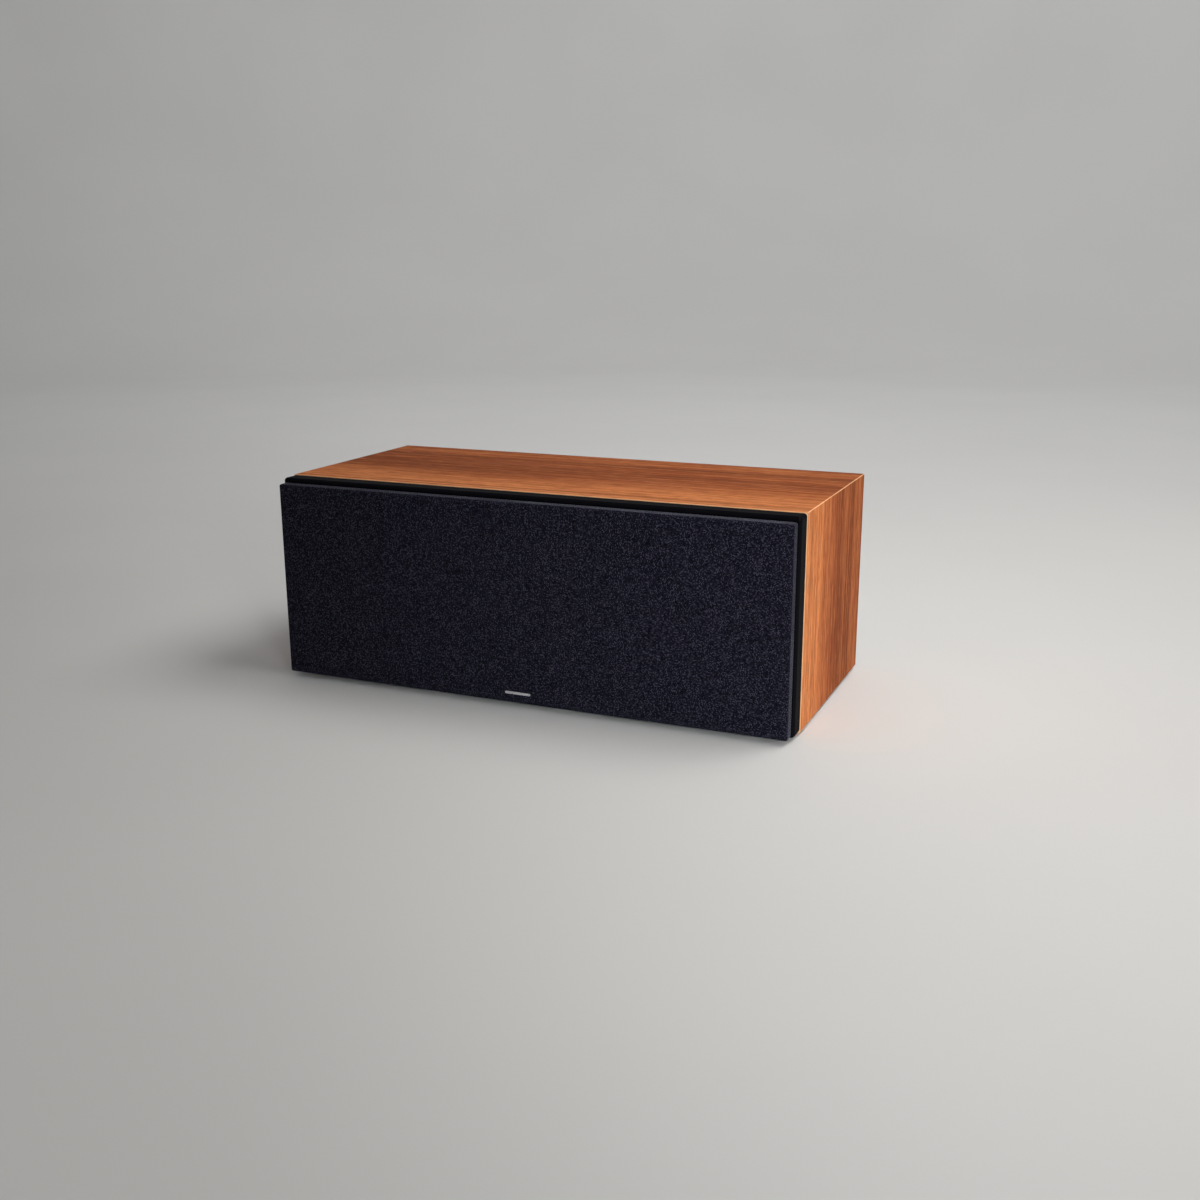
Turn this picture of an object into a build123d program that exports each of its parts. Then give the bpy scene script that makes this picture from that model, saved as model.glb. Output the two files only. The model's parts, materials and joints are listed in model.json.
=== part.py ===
from build123d import *
import math
import os

# Center channel speaker: a walnut wrap with a black baffle, two woofers, a tweeter and a cloth grille.
# Millimetres. The front faces -Y, +X is to the right seen from the front and +Z is up.
# The origin is the middle of the footprint, on the surface that the feet stand on.

# Cabinet
CABINET_WIDTH = 500.0
CABINET_HEIGHT = 189.0
CABINET_DEPTH = 205.0
PANEL_THICKNESS = 15.0
PANEL_EDGE_RADIUS = 0.8
REAR_THICKNESS = 15.0
REAR_INSET = 5.0
PANEL_CLEARANCE = 0.2

# Front baffle
BAFFLE_THICKNESS = 18.0
BAFFLE_INSET = 0.5
BAFFLE_EDGE_RADIUS = 3.0
BAFFLE_GROOVE = 1.0
LIP_DEPTH = 8.0
LIP_WIDTH = 10.0

# Window braces
BRACE_THICKNESS = 12.0
BRACE_RIM = 24.0
BRACE_WINDOW_RADIUS = 20.0

# Feet
FOOT_HEIGHT = 3.0
FOOT_RADIUS = 9.0
FOOT_EDGE_DISTANCE = 28.0

# Grille
GRILLE_INSET = 2.7
GRILLE_DROP = 1.5
GRILLE_GAP = 1.0
GRILLE_DEPTH = 11.0
GRILLE_EDGE_RADIUS = 2.0
CLOTH_THICKNESS = 0.8
CLOTH_CLEARANCE = 0.1
FRAME_BAR = 13.0
FRAME_DIVIDER = 8.0
FRAME_WINDOW_RADIUS = 2.5
PEG_RADIUS = 3.4
PEG_LENGTH = 9.0
PEG_EDGE_DISTANCE = 7.5
PEG_TIP_BEVEL = 1.0
PEG_SHANK_RADIUS = 2.4
PEG_SHANK_LENGTH = 5.0
PEG_FIT = 0.1
PEG_CLEARANCE = 0.3
SOCKET_WALL = 2.2
SOCKET_FLOOR = 1.5
SEAT_CLEARANCE = 0.3

# Chords in the curves of the turned pieces, few enough to keep the facets light
ROLL_CHORDS = 6
CAP_CHORDS = 4
FLARE_CHORDS = 4

# Drivers in general
FLANGE_CLEARANCE = 0.3
CUTOUT_CLEARANCE = 1.0
DRIVER_CLEARANCE = 0.3

# Woofers, with depths measured back from the baffle's face
WOOFER_FLANGE_RADIUS = 75.0
WOOFER_FLANGE_THICKNESS = 6.0
BASKET_FRONT_RADIUS = 62.0
BASKET_REAR_RADIUS = 46.0
BASKET_DEPTH = 52.0
BASKET_WALL = 2.5
BASKET_BORE_RADIUS = 36.0
BASKET_LANDING = 6.0
BASKET_WINDOWS = 6
BASKET_WINDOW_MARGIN = 5.0
BASKET_SPOKE = 15.0
SURROUND_SEAT_DEPTH = 4.5
SURROUND_LIP = 5.0
SURROUND_WIDTH = 9.0
SURROUND_THICKNESS = 1.0
CONE_THICKNESS = 1.2
CONE_EDGE_DEPTH = 3.5
CONE_DISH_RADIUS = 24.0
CONE_DISH_DEPTH = 13.5
CONE_CENTRE_DEPTH = 17.0
COIL_INNER_RADIUS = 12.9
COIL_WALL = 0.6
COIL_OVERHANG = 5.0
SPIDER_THICKNESS = 0.8
SPIDER_LIP = 6.0
TOP_PLATE_RADIUS = 45.0
TOP_PLATE_THICKNESS = 6.0
GAP_CLEARANCE = 0.5
MAGNET_RADIUS = 44.0
MAGNET_BORE_RADIUS = 22.0
MAGNET_THICKNESS = 15.0
YOKE_RADIUS = 42.0
YOKE_THICKNESS = 6.0
POLE_PROUD = 1.5

# Tweeter, with depths measured back from the baffle's face
TWEETER_FLANGE_RADIUS = 52.0
TWEETER_FLANGE_THICKNESS = 4.0
WAVEGUIDE_MOUTH_RADIUS = 34.0
WAVEGUIDE_DEPTH = 7.0
DOME_RADIUS = 16.0
DOME_RISE = 5.0
DOME_RIM_HEIGHT = 1.0
TWEETER_BOSS_RADIUS = 40.0
TWEETER_BOSS_DEPTH = 12.0
TWEETER_MOTOR_RADIUS = 32.0
TWEETER_MOTOR_DEPTH = 26.0
TWEETER_MOTOR_BEVEL = 3.0

# Bass reflex ports
PORT_BORE_RADIUS = 22.0
PORT_WALL = 2.5
PORT_FLARE = 8.0
PORT_FLANGE_LIP = 6.0
PORT_FLANGE_THICKNESS = 3.0
PORT_LENGTH = 90.0
PORT_SIDE_DISTANCE = 85.0

# Rear terminal
CUP_WIDTH = 84.0
CUP_HEIGHT = 58.0
CUP_DEPTH = 20.0
CUP_WALL = 2.5
CUP_CORNER_RADIUS = 8.0
CUP_FLANGE_LIP = 8.0
CUP_FLANGE_THICKNESS = 3.0
POST_SPACING = 38.0
POST_RADIUS = 4.0
POST_COLLAR_RADIUS = 7.5
POST_COLLAR_HEIGHT = 2.0
POST_HEIGHT = 16.5
POST_TAIL = 8.0
POST_CLEARANCE = 0.1
SOCKET_BORE_RADIUS = 2.05
SOCKET_BORE_DEPTH = 15.0
WASHER_SIDE = 15.0
WASHER_THICKNESS = 1.5
THREAD_CLEARANCE = 0.25
KNOB_RADIUS = 8.2
KNOB_LENGTH = 14.0
KNOB_FACET_COUNT = 12
KNOB_BEVEL = 1.2

# Crossover
BOARD_WIDTH = 96.0
BOARD_DEPTH = 80.0
BOARD_THICKNESS = 1.6
BOARD_REAR_DISTANCE = 30.0
SPACER_SIDE = 9.0
SPACER_HEIGHT = 6.0
SPACER_INSET = 3.0
WOOFER_INDUCTOR_RADIUS = 20.0
WOOFER_INDUCTOR_HEIGHT = 24.0
TWEETER_INDUCTOR_RADIUS = 14.0
TWEETER_INDUCTOR_HEIGHT = 14.0
INDUCTOR_BORE_RATIO = 0.45
CAPACITOR_WIDTH = 18.0
CAPACITOR_DEPTH = 14.0
CAPACITOR_HEIGHT = 24.0
CAPACITOR_SPACE = 6.0
CAPACITOR_BEVEL = 1.0
COMPONENT_MARGIN = 3.0

# Damping pads
PAD_THICKNESS = 22.0
PAD_MARGIN = 9.0
PAD_EDGE_RADIUS = 6.0

# Planes and places worked out from the sizes above
INNER_WIDTH = CABINET_WIDTH - 2 * PANEL_THICKNESS
INNER_HEIGHT = CABINET_HEIGHT - 2 * PANEL_THICKNESS
OVERALL_DEPTH = CABINET_DEPTH + BAFFLE_THICKNESS + GRILLE_GAP + GRILLE_DEPTH
WOOD_REAR_Y = OVERALL_DEPTH / 2
WOOD_FRONT_Y = WOOD_REAR_Y - CABINET_DEPTH
BAFFLE_FACE_Y = WOOD_FRONT_Y - BAFFLE_THICKNESS
GRILLE_BACK_Y = BAFFLE_FACE_Y - GRILLE_GAP
REAR_FACE_Y = WOOD_REAR_Y - REAR_INSET
REAR_INSIDE_Y = REAR_FACE_Y - REAR_THICKNESS
LIP_BACK_Y = WOOD_FRONT_Y + LIP_DEPTH
FLOOR_Z = FOOT_HEIGHT + PANEL_THICKNESS
MID_Z = FOOT_HEIGHT + CABINET_HEIGHT / 2
GRILLE_MID_Z = MID_Z - GRILLE_DROP
BAFFLE_WIDTH = CABINET_WIDTH - 2 * BAFFLE_INSET
BAFFLE_HEIGHT = CABINET_HEIGHT - 2 * BAFFLE_INSET
GRILLE_WIDTH = BAFFLE_WIDTH - 2 * GRILLE_INSET
GRILLE_HEIGHT = BAFFLE_HEIGHT - 2 * GRILLE_INSET
FRAME_WIDTH = GRILLE_WIDTH - 2 * (CLOTH_THICKNESS + CLOTH_CLEARANCE)
FRAME_HEIGHT = GRILLE_HEIGHT - 2 * (CLOTH_THICKNESS + CLOTH_CLEARANCE)
FRAME_DEPTH = GRILLE_DEPTH - CLOTH_THICKNESS - CLOTH_CLEARANCE

# The drivers are spread evenly across the baffle
DRIVER_SPACE = (BAFFLE_WIDTH - 4 * WOOFER_FLANGE_RADIUS - 2 * TWEETER_FLANGE_RADIUS) / 4
WOOFER_X = TWEETER_FLANGE_RADIUS + DRIVER_SPACE + WOOFER_FLANGE_RADIUS
DIVIDER_X = TWEETER_FLANGE_RADIUS + DRIVER_SPACE / 2
WOOFER_SIDES = (-WOOFER_X, WOOFER_X)
PORT_X = CABINET_WIDTH / 2 - PORT_SIDE_DISTANCE
PEG_X = FRAME_WIDTH / 2 - PEG_EDGE_DISTANCE
PEG_Z = FRAME_HEIGHT / 2 - PEG_EDGE_DISTANCE
PEG_PLACES = [(x, z - GRILLE_DROP) for x in (-PEG_X, PEG_X) for z in (-PEG_Z, PEG_Z)]

# Radii of the woofer's suspension and motor that follow from one another
SURROUND_OUTER_RADIUS = BASKET_FRONT_RADIUS - BASKET_WALL
SURROUND_INNER_RADIUS = SURROUND_OUTER_RADIUS - SURROUND_WIDTH
CONE_RADIUS = SURROUND_INNER_RADIUS - DRIVER_CLEARANCE
COIL_RADIUS = COIL_INNER_RADIUS + COIL_WALL
POLE_RADIUS = COIL_INNER_RADIUS - GAP_CLEARANCE
TOP_PLATE_BACK = BASKET_DEPTH + TOP_PLATE_THICKNESS
MAGNET_BACK = TOP_PLATE_BACK + MAGNET_THICKNESS
LANDING_DEPTH = BASKET_DEPTH - BASKET_LANDING
COIL_END_DEPTH = TOP_PLATE_BACK + COIL_OVERHANG


def plate(sketch, y_back, thickness, middle=MID_Z):
    """A sketch in X and Z about the cabinet's middle, thickened towards the front from y_back."""
    plane = Plane(origin=(0, y_back, middle), x_dir=(1, 0, 0), z_dir=(0, -1, 0))
    return extrude(plane * sketch, thickness)


def rounded_slab(width, height, y_back, depth, radius, middle=MID_Z):
    """A slab whose corners and front edges are rounded, as on a pillow-edged board."""
    slab = plate(Rectangle(width, height), y_back, depth, middle)
    front = slab.faces().sort_by(Axis.Y)[0]
    return fillet(slab.edges().filter_by(Axis.Y) + front.edges(), radius)


def span(x_range, y_range, z_range):
    """A box between two limits on each axis."""
    ranges = (x_range, y_range, z_range)
    middle = [(low + high) / 2 for low, high in ranges]
    sides = [high - low for low, high in ranges]
    return Pos(*middle) * Box(*sides)


def turned(*profile):
    """A solid of revolution about local Z from an outline of (radius, height) points."""
    return revolve(Plane.XZ * make_face(Polyline(*profile, close=True)), Axis.Z)


def bend(centre, radius, start, end, chords):
    """Points (radius, height) of an outline along an arc between two angles in degrees."""
    angles = [math.radians(start + (end - start) * k / chords) for k in range(chords + 1)]
    return [(centre[0] + radius * math.cos(a), centre[1] + radius * math.sin(a)) for a in angles]


def cap(edge, crown, rim):
    """Points (radius, height) of a spherical dome, or of a dish where the rim is higher."""
    rise = crown - rim
    sphere = (edge**2 + rise**2) / (2 * rise)
    radii = [edge * k / CAP_CHORDS for k in range(CAP_CHORDS + 1)]
    return [(r, crown - sphere + math.copysign(math.sqrt(sphere**2 - r**2), sphere)) for r in radii]


def disc(radius, low, high):
    return Pos(0, 0, (low + high) / 2) * Cylinder(radius, high - low)


def at_baffle(x, shape, z=0.0):
    """Places a shape whose local Z points out of the baffle's face."""
    return Pos(x, BAFFLE_FACE_Y, MID_Z + z) * Rot(90, 0, 0) * shape


def at_rear(x, shape):
    """Places a shape whose local Z points out of the rear panel's face."""
    return Pos(x, REAR_FACE_Y, MID_Z) * Rot(-90, 0, 0) * shape


# Cabinet


def wrap_panels():
    """The four walls of the wrap, cut from one rectangular tube along its mitres."""
    profile = RectangleRounded(CABINET_WIDTH, CABINET_HEIGHT, PANEL_EDGE_RADIUS)
    tube = plate(profile - Rectangle(INNER_WIDTH, INNER_HEIGHT), WOOD_REAR_Y, CABINET_DEPTH)
    reach = 2 * PANEL_THICKNESS
    x_in, x_out = INNER_WIDTH / 2, INNER_WIDTH / 2 + reach
    z_in, z_out = INNER_HEIGHT / 2, INNER_HEIGHT / 2 + reach
    wedges = {
        "top_panel": [(-x_in, z_in), (x_in, z_in), (x_out, z_out), (-x_out, z_out)],
        "bottom_panel": [(-x_in, -z_in), (x_in, -z_in), (x_out, -z_out), (-x_out, -z_out)],
        "left_side_panel": [(-x_in, -z_in), (-x_in, z_in), (-x_out, z_out), (-x_out, -z_out)],
        "right_side_panel": [(x_in, -z_in), (x_in, z_in), (x_out, z_out), (x_out, -z_out)],
    }
    return {
        name: tube & plate(make_face(Polyline(*points, close=True)), WOOD_REAR_Y, CABINET_DEPTH)
        for name, points in wedges.items()
    }


def rear_panel():
    panel = plate(
        Rectangle(INNER_WIDTH - 2 * PANEL_CLEARANCE, INNER_HEIGHT - 2 * PANEL_CLEARANCE),
        REAR_FACE_Y,
        REAR_THICKNESS,
    )
    tube_hole = disc(PORT_BORE_RADIUS + PORT_WALL + PANEL_CLEARANCE, -REAR_THICKNESS, 0)
    for x in (-PORT_X, PORT_X):
        panel -= at_rear(x, tube_hole)
    opening = RectangleRounded(
        CUP_WIDTH + 2 * PANEL_CLEARANCE,
        CUP_HEIGHT + 2 * PANEL_CLEARANCE,
        CUP_CORNER_RADIUS + PANEL_CLEARANCE,
    )
    return panel - plate(opening, REAR_FACE_Y, REAR_THICKNESS)


def front_baffle():
    """The black front board, with a locating lip inside the wrap and stepped holes for the drivers."""
    board = rounded_slab(BAFFLE_WIDTH, BAFFLE_HEIGHT, WOOD_FRONT_Y, BAFFLE_THICKNESS, BAFFLE_EDGE_RADIUS)
    board = chamfer(board.faces().sort_by(Axis.Y)[-1].edges(), BAFFLE_GROOVE)
    lip_width = INNER_WIDTH - 2 * PANEL_CLEARANCE
    lip_height = INNER_HEIGHT - 2 * PANEL_CLEARANCE
    lip = Rectangle(lip_width, lip_height) - Rectangle(lip_width - 2 * LIP_WIDTH, lip_height - 2 * LIP_WIDTH)
    board += plate(lip, LIP_BACK_Y, LIP_DEPTH)
    through = BAFFLE_THICKNESS + LIP_DEPTH
    woofer_hole = disc(WOOFER_FLANGE_RADIUS + FLANGE_CLEARANCE, -WOOFER_FLANGE_THICKNESS, 0)
    woofer_hole += disc(BASKET_FRONT_RADIUS + CUTOUT_CLEARANCE, -through, 0)
    for x in WOOFER_SIDES:
        board -= at_baffle(x, woofer_hole)
    tweeter_hole = disc(TWEETER_FLANGE_RADIUS + FLANGE_CLEARANCE, -TWEETER_FLANGE_THICKNESS, 0)
    tweeter_hole += disc(TWEETER_BOSS_RADIUS + CUTOUT_CLEARANCE, -through, 0)
    board -= at_baffle(0, tweeter_hole)
    socket_hole = disc(socket_radius() + CLOTH_CLEARANCE, -socket_depth() - CLOTH_CLEARANCE, 0)
    for x, z in PEG_PLACES:
        board -= at_baffle(x, socket_hole, z)
    return board


def brace(x):
    """An upright frame between the top and bottom panels, open in the middle."""
    depth = REAR_INSIDE_Y - LIP_BACK_Y
    plane = Plane(
        origin=(x - BRACE_THICKNESS / 2, (REAR_INSIDE_Y + LIP_BACK_Y) / 2, MID_Z),
        x_dir=(0, 1, 0),
        z_dir=(1, 0, 0),
    )
    window = RectangleRounded(depth - 2 * BRACE_RIM, INNER_HEIGHT - 2 * BRACE_RIM, BRACE_WINDOW_RADIUS)
    return extrude(plane * (Rectangle(depth, INNER_HEIGHT) - window), BRACE_THICKNESS)


def rubber_feet():
    foot = disc(FOOT_RADIUS, 0, FOOT_HEIGHT)
    x = CABINET_WIDTH / 2 - FOOT_EDGE_DISTANCE
    y_front = WOOD_FRONT_Y + FOOT_EDGE_DISTANCE
    y_rear = WOOD_REAR_Y - FOOT_EDGE_DISTANCE
    return Compound([Pos(side * x, y, 0) * foot for side in (-1, 1) for y in (y_front, y_rear)])


# Grille


def grille_cloth():
    """The cloth skin, stretched over the front of the frame and round its sides."""
    skin = rounded_slab(
        GRILLE_WIDTH, GRILLE_HEIGHT, GRILLE_BACK_Y, GRILLE_DEPTH, GRILLE_EDGE_RADIUS, GRILLE_MID_Z
    )
    return skin - rounded_slab(
        GRILLE_WIDTH - 2 * CLOTH_THICKNESS,
        GRILLE_HEIGHT - 2 * CLOTH_THICKNESS,
        GRILLE_BACK_Y,
        GRILLE_DEPTH - CLOTH_THICKNESS,
        GRILLE_EDGE_RADIUS - CLOTH_THICKNESS,
        GRILLE_MID_Z,
    )


def grille_frame():
    """The frame under the cloth, with a window for each driver and a hole for each peg."""
    frame = rounded_slab(
        FRAME_WIDTH,
        FRAME_HEIGHT,
        GRILLE_BACK_Y,
        FRAME_DEPTH,
        GRILLE_EDGE_RADIUS - CLOTH_THICKNESS - CLOTH_CLEARANCE,
        GRILLE_MID_Z,
    )
    height = FRAME_HEIGHT - 2 * FRAME_BAR
    outer_x = FRAME_WIDTH / 2 - FRAME_BAR
    inner_x = DIVIDER_X + FRAME_DIVIDER / 2
    middle_width = 2 * DIVIDER_X - FRAME_DIVIDER
    windows = [
        (0.0, middle_width),
        ((inner_x + outer_x) / 2, outer_x - inner_x),
        (-(inner_x + outer_x) / 2, outer_x - inner_x),
    ]
    for x, width in windows:
        opening = Pos(x, 0) * RectangleRounded(width, height, FRAME_WINDOW_RADIUS)
        frame -= plate(opening, GRILLE_BACK_Y, FRAME_DEPTH, GRILLE_MID_Z)
    hole = disc(PEG_SHANK_RADIUS + PEG_FIT, GRILLE_GAP, GRILLE_GAP + PEG_SHANK_LENGTH + PEG_FIT)
    for x, z in PEG_PLACES:
        frame -= at_baffle(x, hole, z)
    return frame


def grille_pegs():
    """Push-in pegs, their shanks pressed into the back of the frame."""
    tip = GRILLE_GAP - PEG_LENGTH
    peg = turned(
        (0, tip),
        (PEG_RADIUS - PEG_TIP_BEVEL, tip),
        (PEG_RADIUS, tip + PEG_TIP_BEVEL),
        (PEG_RADIUS, GRILLE_GAP),
        (PEG_SHANK_RADIUS, GRILLE_GAP),
        (PEG_SHANK_RADIUS, GRILLE_GAP + PEG_SHANK_LENGTH),
        (0, GRILLE_GAP + PEG_SHANK_LENGTH),
    )
    return Compound([at_baffle(x, peg, z) for x, z in PEG_PLACES])


def socket_radius():
    return PEG_RADIUS + PEG_CLEARANCE + SOCKET_WALL


def socket_depth():
    """How deep a socket reaches into the baffle, past the tip of its peg."""
    return PEG_LENGTH - GRILLE_GAP + SEAT_CLEARANCE + SOCKET_FLOOR


def grille_sockets():
    """Rubber cups that hold the pegs and stand a little proud, so that the frame seats on them."""
    proud = GRILLE_GAP - SEAT_CLEARANCE
    bore = PEG_RADIUS + PEG_CLEARANCE
    cup = disc(socket_radius(), -socket_depth(), proud) - disc(bore, SOCKET_FLOOR - socket_depth(), proud)
    return Compound([at_baffle(x, cup, z) for x, z in PEG_PLACES])


# Woofers


def woofer_basket():
    """A cast basket: flush flange with a seat for the surround, a conical wall with windows and a rear ring."""
    seat_radius = SURROUND_OUTER_RADIUS + SURROUND_LIP + DRIVER_CLEARANCE
    shell = turned(
        (SURROUND_OUTER_RADIUS, -SURROUND_SEAT_DEPTH),
        (seat_radius, -SURROUND_SEAT_DEPTH),
        (seat_radius, 0),
        (WOOFER_FLANGE_RADIUS, 0),
        (WOOFER_FLANGE_RADIUS, -WOOFER_FLANGE_THICKNESS),
        (BASKET_FRONT_RADIUS, -WOOFER_FLANGE_THICKNESS),
        (BASKET_REAR_RADIUS, -BASKET_DEPTH),
        (BASKET_BORE_RADIUS, -BASKET_DEPTH),
        (BASKET_BORE_RADIUS, -LANDING_DEPTH),
        (BASKET_REAR_RADIUS - BASKET_WALL, -LANDING_DEPTH),
    )
    pitch = 2 * math.pi / BASKET_WINDOWS
    top_width = 2 * BASKET_FRONT_RADIUS * math.sin(pitch / 2) - BASKET_SPOKE
    bottom_width = 2 * BASKET_REAR_RADIUS * math.sin(pitch / 2) - BASKET_SPOKE
    top = -WOOFER_FLANGE_THICKNESS - BASKET_WINDOW_MARGIN
    bottom = BASKET_WINDOW_MARGIN - LANDING_DEPTH
    outline = Polyline(
        (-top_width / 2, top),
        (top_width / 2, top),
        (bottom_width / 2, bottom),
        (-bottom_width / 2, bottom),
        close=True,
    )
    window = extrude(Plane.XZ * make_face(outline), WOOFER_FLANGE_RADIUS)
    for k in range(BASKET_WINDOWS):
        shell -= Rot(0, 0, math.degrees(pitch) * (k + 0.5)) * window
    return shell


def woofer_surround():
    """A half-roll rubber ring, its lip glued to the basket's seat."""
    seat = -SURROUND_SEAT_DEPTH
    base = seat + SURROUND_THICKNESS
    centre = ((SURROUND_INNER_RADIUS + SURROUND_OUTER_RADIUS) / 2, base)
    outer = SURROUND_WIDTH / 2
    inner = outer - SURROUND_THICKNESS
    lip_radius = SURROUND_OUTER_RADIUS + SURROUND_LIP
    return turned(
        *bend(centre, outer, 0, 180, ROLL_CHORDS),
        *bend(centre, inner, 180, 0, ROLL_CHORDS),
        (centre[0] + inner, seat),
        (lip_radius, seat),
        (lip_radius, base),
    )


def cone_front():
    """Points (radius, height) of the cone's front face, a dished centre inside a straight wall."""
    return cap(CONE_DISH_RADIUS, -CONE_CENTRE_DEPTH, -CONE_DISH_DEPTH) + [(CONE_RADIUS, -CONE_EDGE_DEPTH)]


def woofer_cone():
    """A one-piece cone with a shallow dished centre."""
    front = cone_front()
    back = [(r, height - CONE_THICKNESS) for r, height in reversed(front)]
    return turned(*front, *back)


def woofer_voice_coil():
    """The former, glued to the back of the cone's dish, with its winding in the motor's gap."""
    ring = disc(COIL_RADIUS, -COIL_END_DEPTH, -CONE_DISH_DEPTH) - disc(COIL_INNER_RADIUS, -COIL_END_DEPTH, 0)
    under_cone = [(r, height - CONE_THICKNESS) for r, height in cone_front()]
    return ring - turned((0, 0), *under_cone, (CONE_RADIUS, 0))


def woofer_spider():
    """The woven ring that centres the voice coil, its rim on the basket's landing."""
    low, high = -LANDING_DEPTH, SPIDER_THICKNESS - LANDING_DEPTH
    rim = BASKET_BORE_RADIUS + SPIDER_LIP
    return disc(rim, low, high) - disc(COIL_RADIUS + DRIVER_CLEARANCE, low, high)


def woofer_top_plate():
    hole = COIL_RADIUS + GAP_CLEARANCE
    return disc(TOP_PLATE_RADIUS, -TOP_PLATE_BACK, -BASKET_DEPTH) - disc(hole, -TOP_PLATE_BACK, -BASKET_DEPTH)


def woofer_magnet():
    ring = disc(MAGNET_RADIUS, -MAGNET_BACK, -TOP_PLATE_BACK)
    return ring - disc(MAGNET_BORE_RADIUS, -MAGNET_BACK, -TOP_PLATE_BACK)


def woofer_yoke():
    """The back plate and the pole, one turned piece."""
    back = -MAGNET_BACK - YOKE_THICKNESS
    return disc(YOKE_RADIUS, back, -MAGNET_BACK) + disc(POLE_RADIUS, back, POLE_PROUD - BASKET_DEPTH)


# Tweeter


def tweeter_faceplate():
    """A flush plate with a shallow waveguide round the dome and a boss that carries the motor."""
    throat = DOME_RADIUS + DRIVER_CLEARANCE
    reach = WAVEGUIDE_MOUTH_RADIUS - throat
    sweep = (reach**2 + WAVEGUIDE_DEPTH**2) / (2 * WAVEGUIDE_DEPTH)
    turn = math.degrees(math.asin(reach / sweep))
    return turned(
        *bend((WAVEGUIDE_MOUTH_RADIUS, -sweep), sweep, 90, 90 + turn, FLARE_CHORDS),
        (throat, -TWEETER_BOSS_DEPTH),
        (TWEETER_BOSS_RADIUS, -TWEETER_BOSS_DEPTH),
        (TWEETER_BOSS_RADIUS, -TWEETER_FLANGE_THICKNESS),
        (TWEETER_FLANGE_RADIUS, -TWEETER_FLANGE_THICKNESS),
        (TWEETER_FLANGE_RADIUS, 0),
    )


def tweeter_dome():
    """The soft dome, moulded with its rim, which rests on the motor's front."""
    foot = -TWEETER_BOSS_DEPTH
    return turned(*cap(DOME_RADIUS, foot + DOME_RISE, foot + DOME_RIM_HEIGHT), (DOME_RADIUS, foot), (0, foot))


def tweeter_motor():
    """The closed motor: magnet, plates and coil in one potted can."""
    front, back = -TWEETER_BOSS_DEPTH, -TWEETER_BOSS_DEPTH - TWEETER_MOTOR_DEPTH
    can = disc(TWEETER_MOTOR_RADIUS, back, front)
    return chamfer(can.edges().sort_by(Axis.Z)[0], TWEETER_MOTOR_BEVEL)


# Bass reflex ports


def port_tube():
    """A flared tube with a flange on the outside of the rear panel."""
    mouth = PORT_BORE_RADIUS + PORT_FLARE
    tube = PORT_BORE_RADIUS + PORT_WALL
    face = PORT_FLANGE_THICKNESS
    end = face - PORT_LENGTH
    return turned(
        *bend((mouth, face - PORT_FLARE), PORT_FLARE, 90, 180, FLARE_CHORDS),
        (PORT_BORE_RADIUS, end),
        (tube, end),
        (tube, 0),
        (mouth + PORT_FLANGE_LIP, 0),
        (mouth + PORT_FLANGE_LIP, face),
    )


# Rear terminal


def terminal_cup():
    """A moulded dish that recesses the binding posts behind the rear panel's face."""
    flange = RectangleRounded(
        CUP_WIDTH + 2 * CUP_FLANGE_LIP, CUP_HEIGHT + 2 * CUP_FLANGE_LIP, CUP_CORNER_RADIUS + CUP_FLANGE_LIP
    )
    outside = RectangleRounded(CUP_WIDTH, CUP_HEIGHT, CUP_CORNER_RADIUS)
    inside = RectangleRounded(
        CUP_WIDTH - 2 * CUP_WALL, CUP_HEIGHT - 2 * CUP_WALL, CUP_CORNER_RADIUS - CUP_WALL
    )
    cup = extrude(flange, CUP_FLANGE_THICKNESS)
    cup += Pos(0, 0, -CUP_DEPTH - CUP_WALL) * extrude(outside, CUP_DEPTH + CUP_WALL)
    cup -= Pos(0, 0, -CUP_DEPTH) * extrude(inside, CUP_DEPTH + CUP_FLANGE_THICKNESS)
    hole = disc(POST_RADIUS + POST_CLEARANCE, -CUP_DEPTH - CUP_WALL, -CUP_DEPTH)
    for side in (-1, 1):
        cup -= Pos(side * POST_SPACING / 2, 0, 0) * hole
    return cup


def binding_post():
    """A turned brass post with a collar on the dish floor, a tail behind it and a plug socket in its end."""
    floor = -CUP_DEPTH
    tip = floor + POST_HEIGHT
    tail = floor - CUP_WALL - POST_TAIL
    socket = tip - SOCKET_BORE_DEPTH
    return turned(
        (0, socket),
        (SOCKET_BORE_RADIUS, socket),
        (SOCKET_BORE_RADIUS, tip),
        (POST_RADIUS, tip),
        (POST_RADIUS, floor + POST_COLLAR_HEIGHT),
        (POST_COLLAR_RADIUS, floor + POST_COLLAR_HEIGHT),
        (POST_COLLAR_RADIUS, floor),
        (POST_RADIUS, floor),
        (POST_RADIUS, tail),
        (0, tail),
    )


def washer_low():
    """Height of the clamp washer's underside when the knob is screwed down."""
    return -CUP_DEPTH + POST_COLLAR_HEIGHT + SEAT_CLEARANCE


def clamp_washer():
    """A square washer under the knob, which slides on the post without turning."""
    low = washer_low()
    plain = Pos(0, 0, low) * extrude(Rectangle(WASHER_SIDE, WASHER_SIDE), WASHER_THICKNESS)
    return plain - disc(POST_RADIUS + THREAD_CLEARANCE, low, low + WASHER_THICKNESS)


def terminal_knob():
    """A faceted knob, open through its middle for a plug."""
    low = washer_low() + WASHER_THICKNESS + SEAT_CLEARANCE
    body = Pos(0, 0, low) * extrude(RegularPolygon(KNOB_RADIUS, KNOB_FACET_COUNT), KNOB_LENGTH)
    body = chamfer(body.faces().sort_by(Axis.Z)[-1].edges(), KNOB_BEVEL)
    return body - disc(POST_RADIUS + THREAD_CLEARANCE, low, low + KNOB_LENGTH)


# Crossover


def board_rear_y():
    return REAR_INSIDE_Y - BOARD_REAR_DISTANCE


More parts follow.
